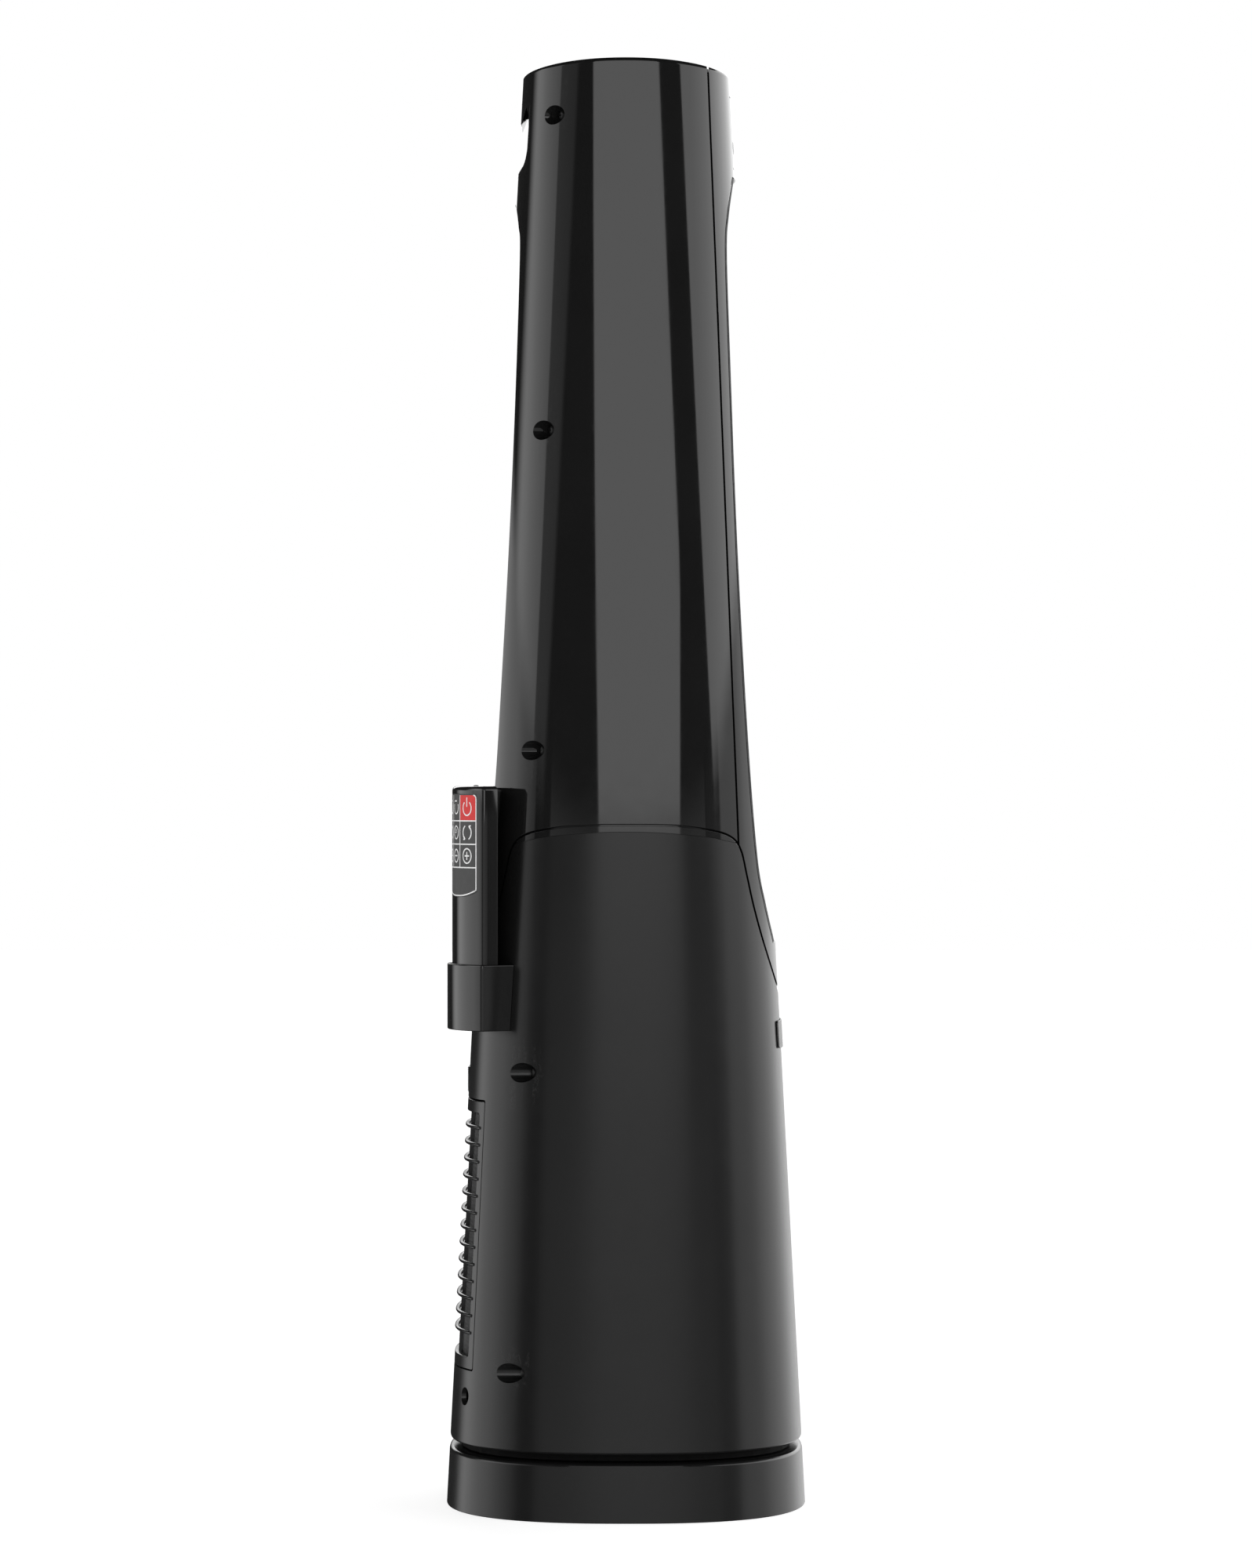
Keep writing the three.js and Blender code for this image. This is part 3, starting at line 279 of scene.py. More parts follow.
def rounded(obj, width, segments=2, angle=35):
    """Rounds every edge sharper than the angle."""
    bm = bmesh.new()
    bm.from_mesh(obj.data)
    bmesh.ops.remove_doubles(bm, verts=bm.verts, dist=0.04 * MM)
    bm.to_mesh(obj.data)
    bm.free()
    modifier = obj.modifiers.new("round", "BEVEL")
    modifier.width = width * MM
    modifier.segments = segments
    modifier.limit_method = "ANGLE"
    modifier.angle_limit = math.radians(angle)
    modifier.use_clamp_overlap = False
    return bake(obj)


def fetch(items, name, size=3, kind=float):
    values = np.empty(len(items) * size, kind)
    items.foreach_get(name, values)
    return values.reshape(-1, size) if size > 1 else values


def shade(obj, skin, angle):
    """Smooth shading with creases.

    Corners that lie on the plan's own surface, pulled in by skin, get its true normal.
    """
    mesh = obj.data
    mesh.shade_smooth()
    mesh.set_sharp_from_angle(angle=math.radians(angle))
    if skin is None:
        return
    normals = fetch(mesh.corner_normals, "vector")
    corner = fetch(mesh.loops, "vertex_index", 1, int)
    x, y, z = (fetch(mesh.vertices, "co")[corner] / MM).T
    sizes = fetch(mesh.polygons, "loop_total", 1, int)
    faces = np.repeat(fetch(mesh.polygons, "normal"), sizes, axis=0)
    turn = (z + CROWN * y**2 - HEIGHT + TOP_FILLET) / TOP_FILLET  # its sine, up the fillet
    rise = np.clip(turn, 0, 0.999)
    inset = skin + TOP_FILLET * (1 - np.sqrt(1 - rise**2))
    wide, deep = half_width(z) - inset, half_depth(z) - inset
    u, v = np.abs(x / wide), np.abs(y / deep)
    lean = rise / np.sqrt(1 - rise**2)
    spread = u**PLAN_POWER / wide + v**PLAN_POWER / deep
    true = np.stack([
        np.sign(x) * u ** (PLAN_POWER - 1) / wide,
        np.sign(y) * v ** (PLAN_POWER - 1) / deep + spread * lean * 2 * CROWN * y,
        u**PLAN_POWER / wide * WIDTH_TAPER + v**PLAN_POWER / deep * DEPTH_TAPER + spread * lean,
    ], axis=1)
    true /= np.linalg.norm(true, axis=1)[:, None] + 1e-12
    on_skin = np.abs(u**PLAN_POWER + v**PLAN_POWER - 1) < 0.006
    chosen = on_skin & ((true * faces).sum(1) > 0.97)
    normals[chosen] = true[chosen]
    mesh.normals_split_custom_set([tuple(n) for n in normals])


def piece(obj, name, body, material, nodes=(), skin=None, angle=32):
    obj.name = name
    obj.data.name = name
    obj.data.materials.clear()
    obj.data.materials.append(material)
    shade(obj, skin, angle)
    if nodes:
        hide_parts(*nodes)
    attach(obj, body)
    return obj


def refined(obj, node, body, material, skin=None, angle=32):
    """The piece that stands for one CAD node, named after it."""
    return piece(obj, f"{node}_fine", body, material, [node], skin, angle)


# ------- materials
def linear(value):
    """A grey of 0 to 255, as shown on a screen, in linear light."""
    v = value / 255
    return v / 12.92 if v <= 0.04045 else ((v + 0.055) / 1.055) ** 2.4


class Tree:
    """Short ways to add nodes."""

    def __init__(self, owner):
        owner.use_nodes = True
        self.nodes = owner.node_tree.nodes
        self.links = owner.node_tree.links
        self.nodes.clear()

    def add(self, kind, inputs=(), **settings):
        node = self.nodes.new(kind)
        for name, value in settings.items():
            setattr(node, name, value)
        for name, value in dict(inputs).items():
            if isinstance(value, bpy.types.NodeSocket):
                self.links.new(value, node.inputs[name])
            else:
                node.inputs[name].default_value = value
        return node

    def math(self, operation, a, b=0.0):
        return self.add("ShaderNodeMath", {0: a, 1: b}, operation=operation).outputs[0]

    def ramp(self, value, low, high, to_low=0.0, to_high=1.0, smooth_ends=False):
        node = self.add("ShaderNodeMapRange", {"Value": value, "From Min": low, "From Max": high,
                                               "To Min": to_low, "To Max": to_high})
        if smooth_ends:
            node.interpolation_type = "SMOOTHSTEP"
        return node.outputs["Result"]

    def mix(self, factor, a, b):
        return self.add("ShaderNodeMix", {0: factor, 6: a, 7: b}, data_type="RGBA").outputs[2]

    def noise(self, size, detail=2.0):
        """Noise with features of about that size in millimetres."""
        where = self.add("ShaderNodeTexCoord").outputs["Object"]
        node = self.add("ShaderNodeTexNoise", {"Vector": where, "Scale": 1 / (size * MM), "Detail": detail})
        return node.outputs["Fac"]

    def surface(self, shader, kind="ShaderNodeOutputMaterial"):
        self.links.new(shader.outputs[0], self.add(kind).inputs["Surface"])


def grey(value, warm=1.0):
    level = linear(value)
    return (level * warm, level, level / warm, 1)


def moulded(name, dark, light, rough, grain, depth, mottle, wear=0.0, metallic=0.0, **fixed):
    """Moulded or cast surface: mottled colour, uneven roughness, a fine grain and worn edges.

    The grain, its depth and the mottle's size are in millimetres.
    """
    material = bpy.data.materials.new(name)
    tree = Tree(material)
    cloud = tree.ramp(tree.noise(mottle, 3.0), 0.35, 0.65)
    colour = tree.mix(cloud, dark, light)
    roughness = tree.ramp(tree.noise(mottle * 0.23, 4.0), 0.3, 0.7, rough[0], rough[1])
    if wear:
        edge = tree.ramp(tree.add("ShaderNodeNewGeometry").outputs["Pointiness"], 0.54, 0.62)
        edge = tree.math("MULTIPLY", edge, tree.ramp(tree.noise(2.5), 0.4, 0.7))
        edge = tree.math("MULTIPLY", edge, wear)
        pale = tuple(min(1.0, 2.2 * c) for c in light[:3]) + (1,)
        colour = tree.mix(edge, colour, pale)
        roughness = tree.math("ADD", roughness, tree.math("MULTIPLY", edge, 0.15))
    bump = tree.add("ShaderNodeBump", {"Height": tree.noise(grain, 3.0), "Distance": depth * MM,
                                       "Strength": 1.0})
    shader = tree.add("ShaderNodeBsdfPrincipled", {"Base Color": colour, "Roughness": roughness,
                                                   "Normal": bump.outputs[0], "Metallic": metallic, **fixed})
    tree.surface(shader)
    return material


GLOSS_BLACK = moulded("gloss_black_plastic", grey(23), grey(25), (0.035, 0.06), 9.0, 0.0012, 60, wear=0.3)
SATIN_BLACK = moulded("satin_black_plastic", grey(21), grey(23), (0.215, 0.235), 0.5, 0.003, 45, wear=0.5,
                      **{"Specular IOR Level": 0.375})
# Painted shade: a darker, duller black than the turntable's own plastic, so that the groove between the base
# and the housing reads as shaded.
GROOVE_SHADE_BLACK = moulded("black_plastic_painted_groove_shade", grey(9), grey(12), (0.8, 0.9), 0.45, 0.01, 18,
                     **{"Specular IOR Level": 0.15})
MATTE_BLACK = moulded("matte_black_plastic", grey(18), grey(23), (0.55, 0.68), 0.45, 0.012, 18, wear=0.4)
RUBBER = moulded("black_rubber", grey(20), grey(27), (0.7, 0.86), 0.3, 0.015, 6)
STEEL = moulded("zinc_plated_steel", grey(160), grey(190), (0.22, 0.4), 0.6, 0.004, 5, metallic=1.0)
NATURAL = moulded("natural_nylon", grey(205, 1.03), grey(222, 1.02), (0.38, 0.5), 0.6, 0.006, 14,
                  **{"Subsurface Weight": 0.15, "Subsurface Scale": 0.002})
GREY_PLASTIC = moulded("grey_moulded_plastic", grey(78), grey(90), (0.36, 0.48), 0.5, 0.006, 22, wear=0.3)
BADGE_GREY = moulded("badge_grey_lacquer", grey(62), grey(70), (0.24, 0.32), 0.4, 0.003, 12, wear=0.4)
BLACK_ZINC = moulded("black_zinc_steel", grey(34), grey(44), (0.4, 0.55), 0.6, 0.004, 5, metallic=0.7)
MEMBRANE = moulded("key_membrane_grey", grey(75), grey(78), (0.55, 0.62), 0.35, 0.005, 9,
                   **{"Specular IOR Level": 0.2})
INK_WHITE = moulded("white_key_print", grey(228), grey(240), (0.35, 0.5), 0.3, 0.003, 4)
INK_RED = moulded("red_key_print", (0.66, 0.05, 0.05, 1), (0.69, 0.054, 0.054, 1), (0.5, 0.58),
                  0.35, 0.004, 6, **{"Specular IOR Level": 0.2})
PAPER = moulded("pleated_filter_paper", grey(214, 1.02), grey(234, 1.01), (0.82, 0.95), 0.35, 0.03, 4)


def woven_carbon():
    """Black carbon cloth: a plain weave of coarse yarns over felt."""
    material = bpy.data.materials.new("carbon_cloth_weave")
    tree = Tree(material)
    where = tree.add("ShaderNodeTexCoord").outputs["Object"]
    yarns = [tree.add("ShaderNodeTexWave", {"Vector": where, "Scale": 110.0, "Distortion": 1.2, "Detail": 2.0,
                                            "Detail Scale": 6.0}, bands_direction=axis).outputs["Fac"]
             for axis in ("X", "Z")]
    weave = tree.math("MAXIMUM", *yarns)
    fuzz = tree.noise(0.25, 4.0)
    height = tree.math("ADD", weave, tree.math("MULTIPLY", fuzz, 0.5))
    colour = tree.mix(tree.math("MULTIPLY", weave, tree.ramp(fuzz, 0.3, 0.7)), grey(14), grey(38))
    bump = tree.add("ShaderNodeBump", {"Height": height, "Distance": 0.35 * MM})
    roughness = tree.ramp(fuzz, 0.2, 0.8, 0.8, 0.97)
    shader = tree.add("ShaderNodeBsdfPrincipled", {"Base Color": colour, "Roughness": roughness,
                                                   "Normal": bump.outputs[0], "Sheen Weight": 0.2})
    tree.surface(shader)
    return material


def circuit_board():
    """Green solder mask with tracks and tinned pads."""
    material = bpy.data.materials.new("circuit_board_mask")
    tree = Tree(material)
    where = tree.add("ShaderNodeTexCoord").outputs["Object"]
    cells = tree.add("ShaderNodeTexVoronoi", {"Vector": where, "Scale": 260.0}, distance="CHEBYCHEV",
                     feature="F1")
    tracks = tree.ramp(cells.outputs["Distance"], 0.34, 0.4)
    pads = tree.ramp(cells.outputs["Distance"], 0.1, 0.07)
    mask = tree.mix(tracks, (0.012, 0.085, 0.03, 1), (0.02, 0.16, 0.055, 1))
    colour = tree.mix(pads, mask, grey(185))
    bump = tree.add("ShaderNodeBump", {"Height": tree.math("ADD", tracks, pads), "Distance": 0.05 * MM})
    roughness = tree.ramp(tree.noise(3.0), 0.3, 0.7, 0.25, 0.4)
    shader = tree.add("ShaderNodeBsdfPrincipled", {"Base Color": colour, "Roughness": roughness,
                                                   "Normal": bump.outputs[0], "Metallic": pads})
    tree.surface(shader)
    return material


CARBON = woven_carbon()
BOARD = circuit_board()

# ------- studio
CAMERA_DISTANCE, CAMERA_HEIGHT, CAMERA_LENS = 3.65, 0.5, 119.8
camera = bpy.data.objects.new("camera", bpy.data.cameras.new("camera"))
camera.location = (-CAMERA_DISTANCE, 0, CAMERA_HEIGHT)
camera.rotation_euler = (math.radians(90), 0, math.radians(-90))
camera.data.lens = CAMERA_LENS
camera.data.sensor_width = 36
camera.data.clip_end = 100
scene.collection.objects.link(camera)
scene.camera = camera
scene.view_settings.view_transform = "Standard"


def make_world():
    """Studio of upright soft panels on a dark ground, by direction, and plain white for the camera.

    Azimuth is in degrees from -X, positive towards the back of the object, and elevation from level.
    """
    scene.world = bpy.data.worlds.new("studio")
    tree = Tree(scene.world)
    way = tree.add("ShaderNodeSeparateXYZ", {0: tree.add("ShaderNodeTexCoord").outputs["Generated"]})
    x, y, z = way.outputs
    degrees = math.degrees(1)
    azimuth = tree.math("MULTIPLY", tree.math("ARCTAN2", y, tree.math("MULTIPLY", x, -1.0)), degrees)
    elevation = tree.math("MULTIPLY", tree.math("ARCSINE", z), degrees)
    rise = tree.math("MINIMUM", tree.math("MAXIMUM", tree.math("SUBTRACT", elevation, 10.0), -12.0), 5.0)

    def edge(at, slope, soft, outward):
        """1 beyond an edge at azimuth at, which leans by slope with the elevation."""
        side = tree.math("SUBTRACT", azimuth, tree.math("MULTIPLY", rise, slope))
        return tree.ramp(side, at - soft * outward, at + soft * outward, smooth_ends=True)

    def both(*factors):
        return reduce(lambda a, b: tree.math("MULTIPLY", a, b), factors)

    def step(at, soft, outward=1):
        """1 beyond an upright edge."""
        return tree.ramp(azimuth, at - soft * outward, at + soft * outward, smooth_ends=True)

    def total(*parts):
        return reduce(lambda a, b: tree.math("ADD", a, b), parts)

    def lesser(a, b):
        return tree.math("MINIMUM", a, b)

    # Panels that the column and the top see.
    centre = both(edge(13, 1.13, 0.6, -1), edge(-28.4, 2.0, 0.6, 1), edge(-31.1, -1.45, 0.6, 1))
    dim = both(edge(44.7, -2.33, 2.5, 1), edge(61.9, -1.35, 0.8, -1), tree.ramp(azimuth, 38, 58, 0.28, 0.42))
    back_rise = tree.ramp(azimuth, 56, 92, 1.2, 2.25)
    back = both(edge(61.9, -1.35, 0.8, 1), tree.ramp(azimuth, 98, 119, 1.0, 0.0, True), back_rise)
    front_rise = lesser(tree.ramp(azimuth, -55, -105, 2.0, 3.1), tree.ramp(azimuth, -120, -170, 3.1, 2.0))
    front = both(edge(-51.4, 2.13, 0.6, -1), front_rise)
    far = tree.ramp(azimuth, 161, 164, 0.0, 2.0, True)
    upper = total(tree.math("MULTIPLY", centre, 2.0), dim, back, front, far)

    # Their dimmer lower ends, which the housing and the remote control see.
    low_rise = lesser(tree.ramp(azimuth, 45, -4, 0.42, 0.6), tree.ramp(azimuth, -49, -4, 0.38, 0.6))
    low_centre = both(step(-49, 1.0), step(45, 1.0, -1), low_rise)
    low_gap = both(step(-66, 1.0), step(-50, 1.0, -1), 0.12)
    low_front = both(step(-66, 1.5, -1), tree.ramp(azimuth, -90, -104, 0.95, 1.4),
                     tree.ramp(azimuth, -150, -167, 1.0, 0.7))
    low_back = both(tree.ramp(azimuth, 60, 92, 0.25, 1.4), step(62, 1.0), step(136, 9, -1))
    lower = total(low_centre, low_gap, low_front, low_back)

    share = tree.ramp(elevation, 5.9, 6.9, smooth_ends=True)
    light = total(both(upper, share), both(lower, tree.math("SUBTRACT", 1.0, share)))
    light = both(light, tree.ramp(elevation, 27, 33, 1.0, 0.0, True),
                 tree.ramp(elevation, -34, -22, 0.0, 1.0, True))
    studio = tree.add("ShaderNodeBackground", {"Color": (1, 1, 1, 1), "Strength": total(light, 0.03)})
    plain = tree.add("ShaderNodeBackground", {"Color": (1, 1, 1, 1), "Strength": 1.0})
    seen = tree.add("ShaderNodeLightPath").outputs["Is Camera Ray"]
    mixed = tree.add("ShaderNodeMixShader", {0: seen, 1: studio.outputs[0], 2: plain.outputs[0]})
    tree.surface(mixed, "ShaderNodeOutputWorld")


make_world()

FLOOR = 12
floor_mesh = bpy.data.meshes.new("floor")
floor_mesh.from_pydata([(-FLOOR, -FLOOR, 0), (FLOOR, -FLOOR, 0), (FLOOR, FLOOR, 0), (-FLOOR, FLOOR, 0)], [],
                       [(0, 1, 2, 3)])
floor = bpy.data.objects.new("floor", floor_mesh)
scene.collection.objects.link(floor)
paper = bpy.data.materials.new("studio_floor")
paper_tree = Tree(paper)
paper_tree.surface(paper_tree.add("ShaderNodeBsdfPrincipled", {
    "Base Color": (0.8, 0.8, 0.8, 1), "Roughness": 0.9, "Emission Color": (1, 1, 1, 1),
    "Emission Strength": 0.78,
}))
floor_mesh.materials.append(paper)
floor.visible_glossy = False


# ------- shared regions
def seam_curve(offset):
    """Arched seam as (y, z) from back to front, moved off square to itself: positive is upwards."""
    half = smooth(SEAM_POINTS, 8)
    out = []
    for i, (y, z) in enumerate(half):
        (ya, za), (yb, zb) = half[max(i - 1, 0)], half[min(i + 1, len(half) - 1)]
        length = math.hypot(yb - ya, zb - za)
        out.append((y - (zb - za) / length * offset, z + (yb - ya) / length * offset))
    out[0] = (0, out[0][1])
    return [*out[::-1], *[(-y, z) for y, z in out[1:]]]


def beside_seam(offset, far):
    """Everything between the arched seam and a far level."""
    curve = seam_curve(offset)
    low = curve[0][1]
    ends = [(-DEEP_REACH, low), (-DEEP_REACH, far), (DEEP_REACH, far)]
    return side_tool([(DEEP_REACH, low), *curve, *ends])


def above_seam(offset):
    return beside_seam(offset, 1200)


def below_seam(offset):
    return beside_seam(offset, -50)


RECESS = smooth(RECESS_POINTS, 8)
SCOOP = smooth(SCOOP_POINTS, 8)


def crowned_ring(z, inset):
    """A ring of the plan that follows the fall of the top."""
    ring = []
    for x, y, _ in plan_ring(z, inset):
        drop = CROWN * y * y
        grow = (half_depth(z - drop) - inset) / (half_depth(z) - inset)
        ring.append((x * grow, y * grow, z - drop))
    return ring


def hollows(inset, sunk):
    """Side outline of the column with the front recess and the scoop in the back."""
    front = [(-(half - inset - sunk), z) for half, z in RECESS]
    back = [(half - inset, z) for half, z in SCOOP][::-1]
    far = DEEP_REACH
    return side_tool([(-far, 1100), (-far, RECESS_TOP), *front, (-far, RECESS_BOTTOM), (-far, 300),
                      (far, 300), (far, RECESS_BOTTOM), *back, (far, SCOOP_TOP), (far, 1100)])


def column_form(inset, sunk, hollowed=True):
    """Outer form of the column, pulled in by inset, with the front recess sunk further."""
    top = HEIGHT - inset
    rings = [plan_ring(FORM_LOW + FORM_STEP * i, inset) for i in range(FORM_ROWS)]
    for i in range(11):
        turn = math.pi / 2 * i / 10
        level = top - TOP_FILLET * (1 - math.sin(turn))
        rings.append(crowned_ring(level, inset + TOP_FILLET * (1 - math.cos(turn))))
    edge = rings[-1]
    for share in (0.93, 0.8, 0.6, 0.4, 0.2, 0.05):
        rings.append([(x * share, y * share, top - CROWN * (y * share) ** 2) for x, y, _ in edge])
    return common(solid(rings), hollows(inset, sunk)) if hollowed else solid(rings)


def front_seam(z):
    """y of the column's straight seam."""
    return -(56.5 + 0.0385 * (994 - z))


def front_side(offset):
    """What is in front of the column's straight seam."""
    low, high = 200, 1100
    return side_tool([(-DEEP_REACH, low), (front_seam(low) - offset, low), (front_seam(high) - offset, high),
                      (-DEEP_REACH, high)])


def pocket_place(tool, z, y, side):
    """Turns an upright tool to the back and sets it just inside the skin."""
    across = half_width(z) * (1 - (y / half_depth(z)) ** PLAN_POWER) ** (1 / PLAN_POWER)
    lean = 0.026 * (z - 80)
    return moved(tool, ("X", -90), ("Z", -side * lean), (side * (across - 1.5), y - 9, z))


def with_pockets(shell, form, places):
    """Screw pockets: a boss on the inside of the shell with a blind round hole along +Y."""
    bosses = []
    for z, y in places:
        for side in SIDES:
            boss = pocket_place(disc(POCKET_RADIUS + 1.7, -3, 60), z, y, side)
            bosses.append(common(boss, duplicate(form)))
    join(shell, *bosses)
    holes = [pocket_place(disc(POCKET_RADIUS, 0, 80), z, y, side) for z, y in places for side in SIDES]
    return cut(shell, *holes)


# ------- base
def build_base():
    foot = [(BASE_BOTTOM + rise, inset) for rise, inset in ((-0.3, 0.5), (-0.15, 0.2), (0.2, 0))]
    crown = [(37.7, 0.0), (38.7, 0.25), (39.5, 0.85), (40.0, 1.7), (BASE_TOP, 2.8)]
    outer = solid([plan_ring(z, i) for z, i in [*foot, (14, 0), (26, 0), *crown]])
    shell = cut(outer, taper(-4, BASE_TOP - WALL, WALL))
    join(shell, disc(WELL_RADIUS + 2.4, WELL_FLOOR - WALL, BASE_TOP - 1, 96))
    gland_hole = along_y(disc(6.4, 0, 40), 0, 100, GLAND_HEIGHT)
    cut(shell, disc(WELL_RADIUS, WELL_FLOOR, 60, 96), disc(HUB_RADIUS + GAP, -5, 60), gland_hole)
    refined(shell, "base_shell", "base", SATIN_BLACK, 0.0)

    for i, (x, y) in enumerate([(-82, -82), (82, -82), (82, 82), (-82, 82)]):
        profile = [(9.2, 0), (9.7, 0.2), (10, 0.7), (10, 2.2), (9.6, 2.4)]
        pad = moved(lathe([(6.5, 0.35), (7.2, 0.05), *profile]), (x, y, 0))
        piece(pad, f"foot_pad_fine_{i + 1}", "base", RUBBER, [f"foot_pad_{i + 1}"])

    flange = half_depth(GLAND_HEIGHT) - 1
    profile = [(3.4, -9), (8.2, -9), (8.5, -8.7), (8.5, -4.8), (8.2, -4.5), (6.2, -4.5), (6, -4.2), (6, -0.5),
               (5.6, 0), (4.2, 0), (3.6, -0.4), (3.4, -1.2)]
    gland = along_y(lathe(profile, 48, tube=True), 0, flange, GLAND_HEIGHT)
    refined(gland, "cord_gland", "base", RUBBER)


build_base()


# ------- lower housing and collar
def door_half(z):
    return DOOR_FRACTION * half_width(z)


def door_outline(side, bottom=None, top=None, corner=0.0):
    """Trapezium of the door's window in (x, z), pulled in by margins, with rounded corners."""
    bottom = side if bottom is None else bottom
    top = side if top is None else top
    low, high = DOOR_BOTTOM + bottom, DOOR_TOP - top
    corners = [(-door_half(low) + side, low), (door_half(low) - side, low),
               (door_half(high) - side, high), (-door_half(high) + side, high)]
    return rounded_outline(corners, corner) if corner else corners


def bend(before, corner, after, size):
    """Points of a curve that replaces a corner, from that far along each of its two sides."""
    a, b, c = Vector(before), Vector(corner), Vector(after)
    start, end = b + (a - b).normalized() * size, b + (c - b).normalized() * size
    shares = [i / 5 for i in range(6)]
    return [tuple(start * (1 - t) ** 2 + b * 2 * t * (1 - t) + end * t * t) for t in shares]


def rounded_outline(corners, radius):
    out = []
    for a, b, c in zip([corners[-1], *corners[:-1]], corners, [*corners[1:], corners[0]]):
        out += bend(a, b, c, radius)
    return out


def rectangle(half, low, high):
    return [(-half, low), (half, low), (half, high), (-half, high)]


LIP_HALF = 76
LIP_POINTS = [(0, 467.2), (18, 466.9), (40, 465.4), (58, 463.4), (67, 461.4), (LIP_HALF, 459.4)]


def over_lip(drop, end):
    """Everything above the lip's lower edge, in (y, z), out to the ends of the lip."""
    curve = smooth(LIP_POINTS, 8)
    across = np.linspace(-end, end, 41)
    rise = np.interp(abs(across), [y for y, _ in curve], [z for _, z in curve])
    return [*[(y, z - drop) for y, z in zip(across, rise)], (end, 500), (-end, 500)]


def build_housing():
    foot = [(HOUSING_BOTTOM, 2.2), (46.2, 1.3), (46.7, 0.6), (47.5, 0.2), (48.6, 0)]
    rows = [*foot, *[(60 + 30 * i, 0) for i in range(15)]]
    form = solid([plan_ring(z, i) for z, i in rows])
    inner = taper(HOUSING_BOTTOM - 5, 490, WALL)
    shell = common(cut(duplicate(form), inner), below_seam(-SEAM_HALF))
    rounded(shell, 0.5, angle=50)
    cut(shell, side_tool(over_lip(0.12, LIP_HALF)))
    window = back_tool(door_outline(0, corner=2.0))
    slot = rectangle(LATCH_HALF + 0.6, LATCH_BOTTOM - 0.6, LATCH_TOP + 5)
    latch_slot = prism("y", rounded_outline(slot, 1.5), 90, 140)
    cut(shell, window, latch_slot)
    with_pockets(shell, form, POCKETS[:2])
    cut(shell, *[along_y(disc(6.2, 0, 40), side * 62, 100, 79) for side in SIDES])
    discard(form)
    refined(shell, "lower_housing", "tower", SATIN_BLACK, 0.0)


def build_collar():
    spigot = cut(column_form(WALL + GAP + 0.2, FRAME_SUNK), column_form(WALL + 2.8, FRAME_SUNK))
    common(spigot, below_seam(4), above_seam(-16))
    # At the front and the back it also fills the seam, so that no light gets through.
    fill = cut(column_form(0.6, FRAME_SUNK), column_form(WALL + 1, FRAME_SUNK))
    common(fill, above_seam(-SEAM_HALF + 0.1), below_seam(SEAM_HALF - 0.1))
    cut(fill, block(-SIDE_REACH, SIDE_REACH, -95, 95, 300, 500))
    join(spigot, fill)
    band = cut(taper(420, 480, 0, 10), taper(410, 490, WALL + 1.5))
    common(band, below_seam(-SEAM_HALF), side_tool(over_lip(0, LIP_HALF - 1)))
    rounded(band, 0.2, angle=50)
    join(band, spigot)
    refined(band, "shoulder_collar", "tower", GLOSS_BLACK, 0.0)


build_housing()
build_collar()


# ------- column
def handle_outline(margin, corner):
    half, low, high = HANDLE_HALF + margin, HANDLE_LOW - margin, HANDLE_HIGH + margin
    return rounded_outline(rectangle(half, low, high), corner)


def seam_gap():
    """The gap along the straight seam, a little narrower than it is."""
    return cut(front_side(-SEAM_HALF + 0.1), front_side(SEAM_HALF - 0.1))


def build_rear_shell():
    form = column_form(0, 0)
    shell = cut(column_form(0, 0, hollowed=False), column_form(WALL, 0))
    common(shell, above_seam(SEAM_HALF))
    cut(shell, front_side(-SEAM_HALF))
    rounded(shell, 0.3, angle=50)
    common(shell, hollows(0, 0))
    cut(shell, prism("y", handle_outline(0.15, 4), 40, 120))
    with_pockets(shell, form, POCKETS[2:])
    discard(form)
    # A tongue behind the straight seam, which the front frame laps over.
    tongue = cut(column_form(WALL - 0.5, 0), column_form(WALL + 1.3, 0))
    common(tongue, above_seam(6))
    behind = [(front_seam(z) + 5, z) for z in (300, 1100)] + [(DEEP_REACH, 1100), (DEEP_REACH, 300)]
    lap = cut(front_side(-SEAM_HALF - 0.1), column_form(WALL + 0.2, 0))
    cut(tongue, front_side(6), side_tool(behind), lap, front_tool(outlet_outline(OUTLET_PLAY)))
    # On the top the tongue comes up close under the skin, so that no light gets through the seam.
    fill = common(column_form(0.6, 0), seam_gap(), block(-34, 34, -120, 0, 985, 1001))
    cut(fill, column_form(WALL + 1, 0))
    join(tongue, fill)
    join(shell, tongue)
    refined(shell, "column_rear_shell", "tower", GLOSS_BLACK, 0.0)


def outlet_half(z):
    return 38 - 0.03 * (z - OUTLET_LOW)


def outlet_outline(margin):
    low, high = OUTLET_LOW - margin, OUTLET_HIGH + margin
    foot, head = outlet_half(OUTLET_LOW) + margin, outlet_half(OUTLET_HIGH) + margin
    return rounded_outline([(-foot, low), (foot, low), (head, high), (-head, high)], 3.0)


def build_front_frame():
    frame_shell = cut(column_form(0, FRAME_SUNK, hollowed=False), column_form(WALL, FRAME_SUNK))
    common(frame_shell, above_seam(SEAM_HALF), front_side(SEAM_HALF))
    rounded(frame_shell, 0.3, angle=50)
    common(frame_shell, hollows(0, FRAME_SUNK))
    seat = cut(block(-PANEL_HALF - 0.3, PANEL_HALF + 0.3, -100, -30, PANEL_LOW - 0.3, PANEL_HIGH + 0.3),
               taper(PANEL_LOW - 9, PANEL_HIGH + 9, 1.6))
    opening = block(-PANEL_HALF + 2, PANEL_HALF - 2, -100, -40, PANEL_LOW + 4, PANEL_HIGH - 4)
    cut(frame_shell, front_tool(outlet_outline(OUTLET_PLAY)), seat, opening)
    refined(frame_shell, "column_front_frame", "tower", GLOSS_BLACK, 0.0)


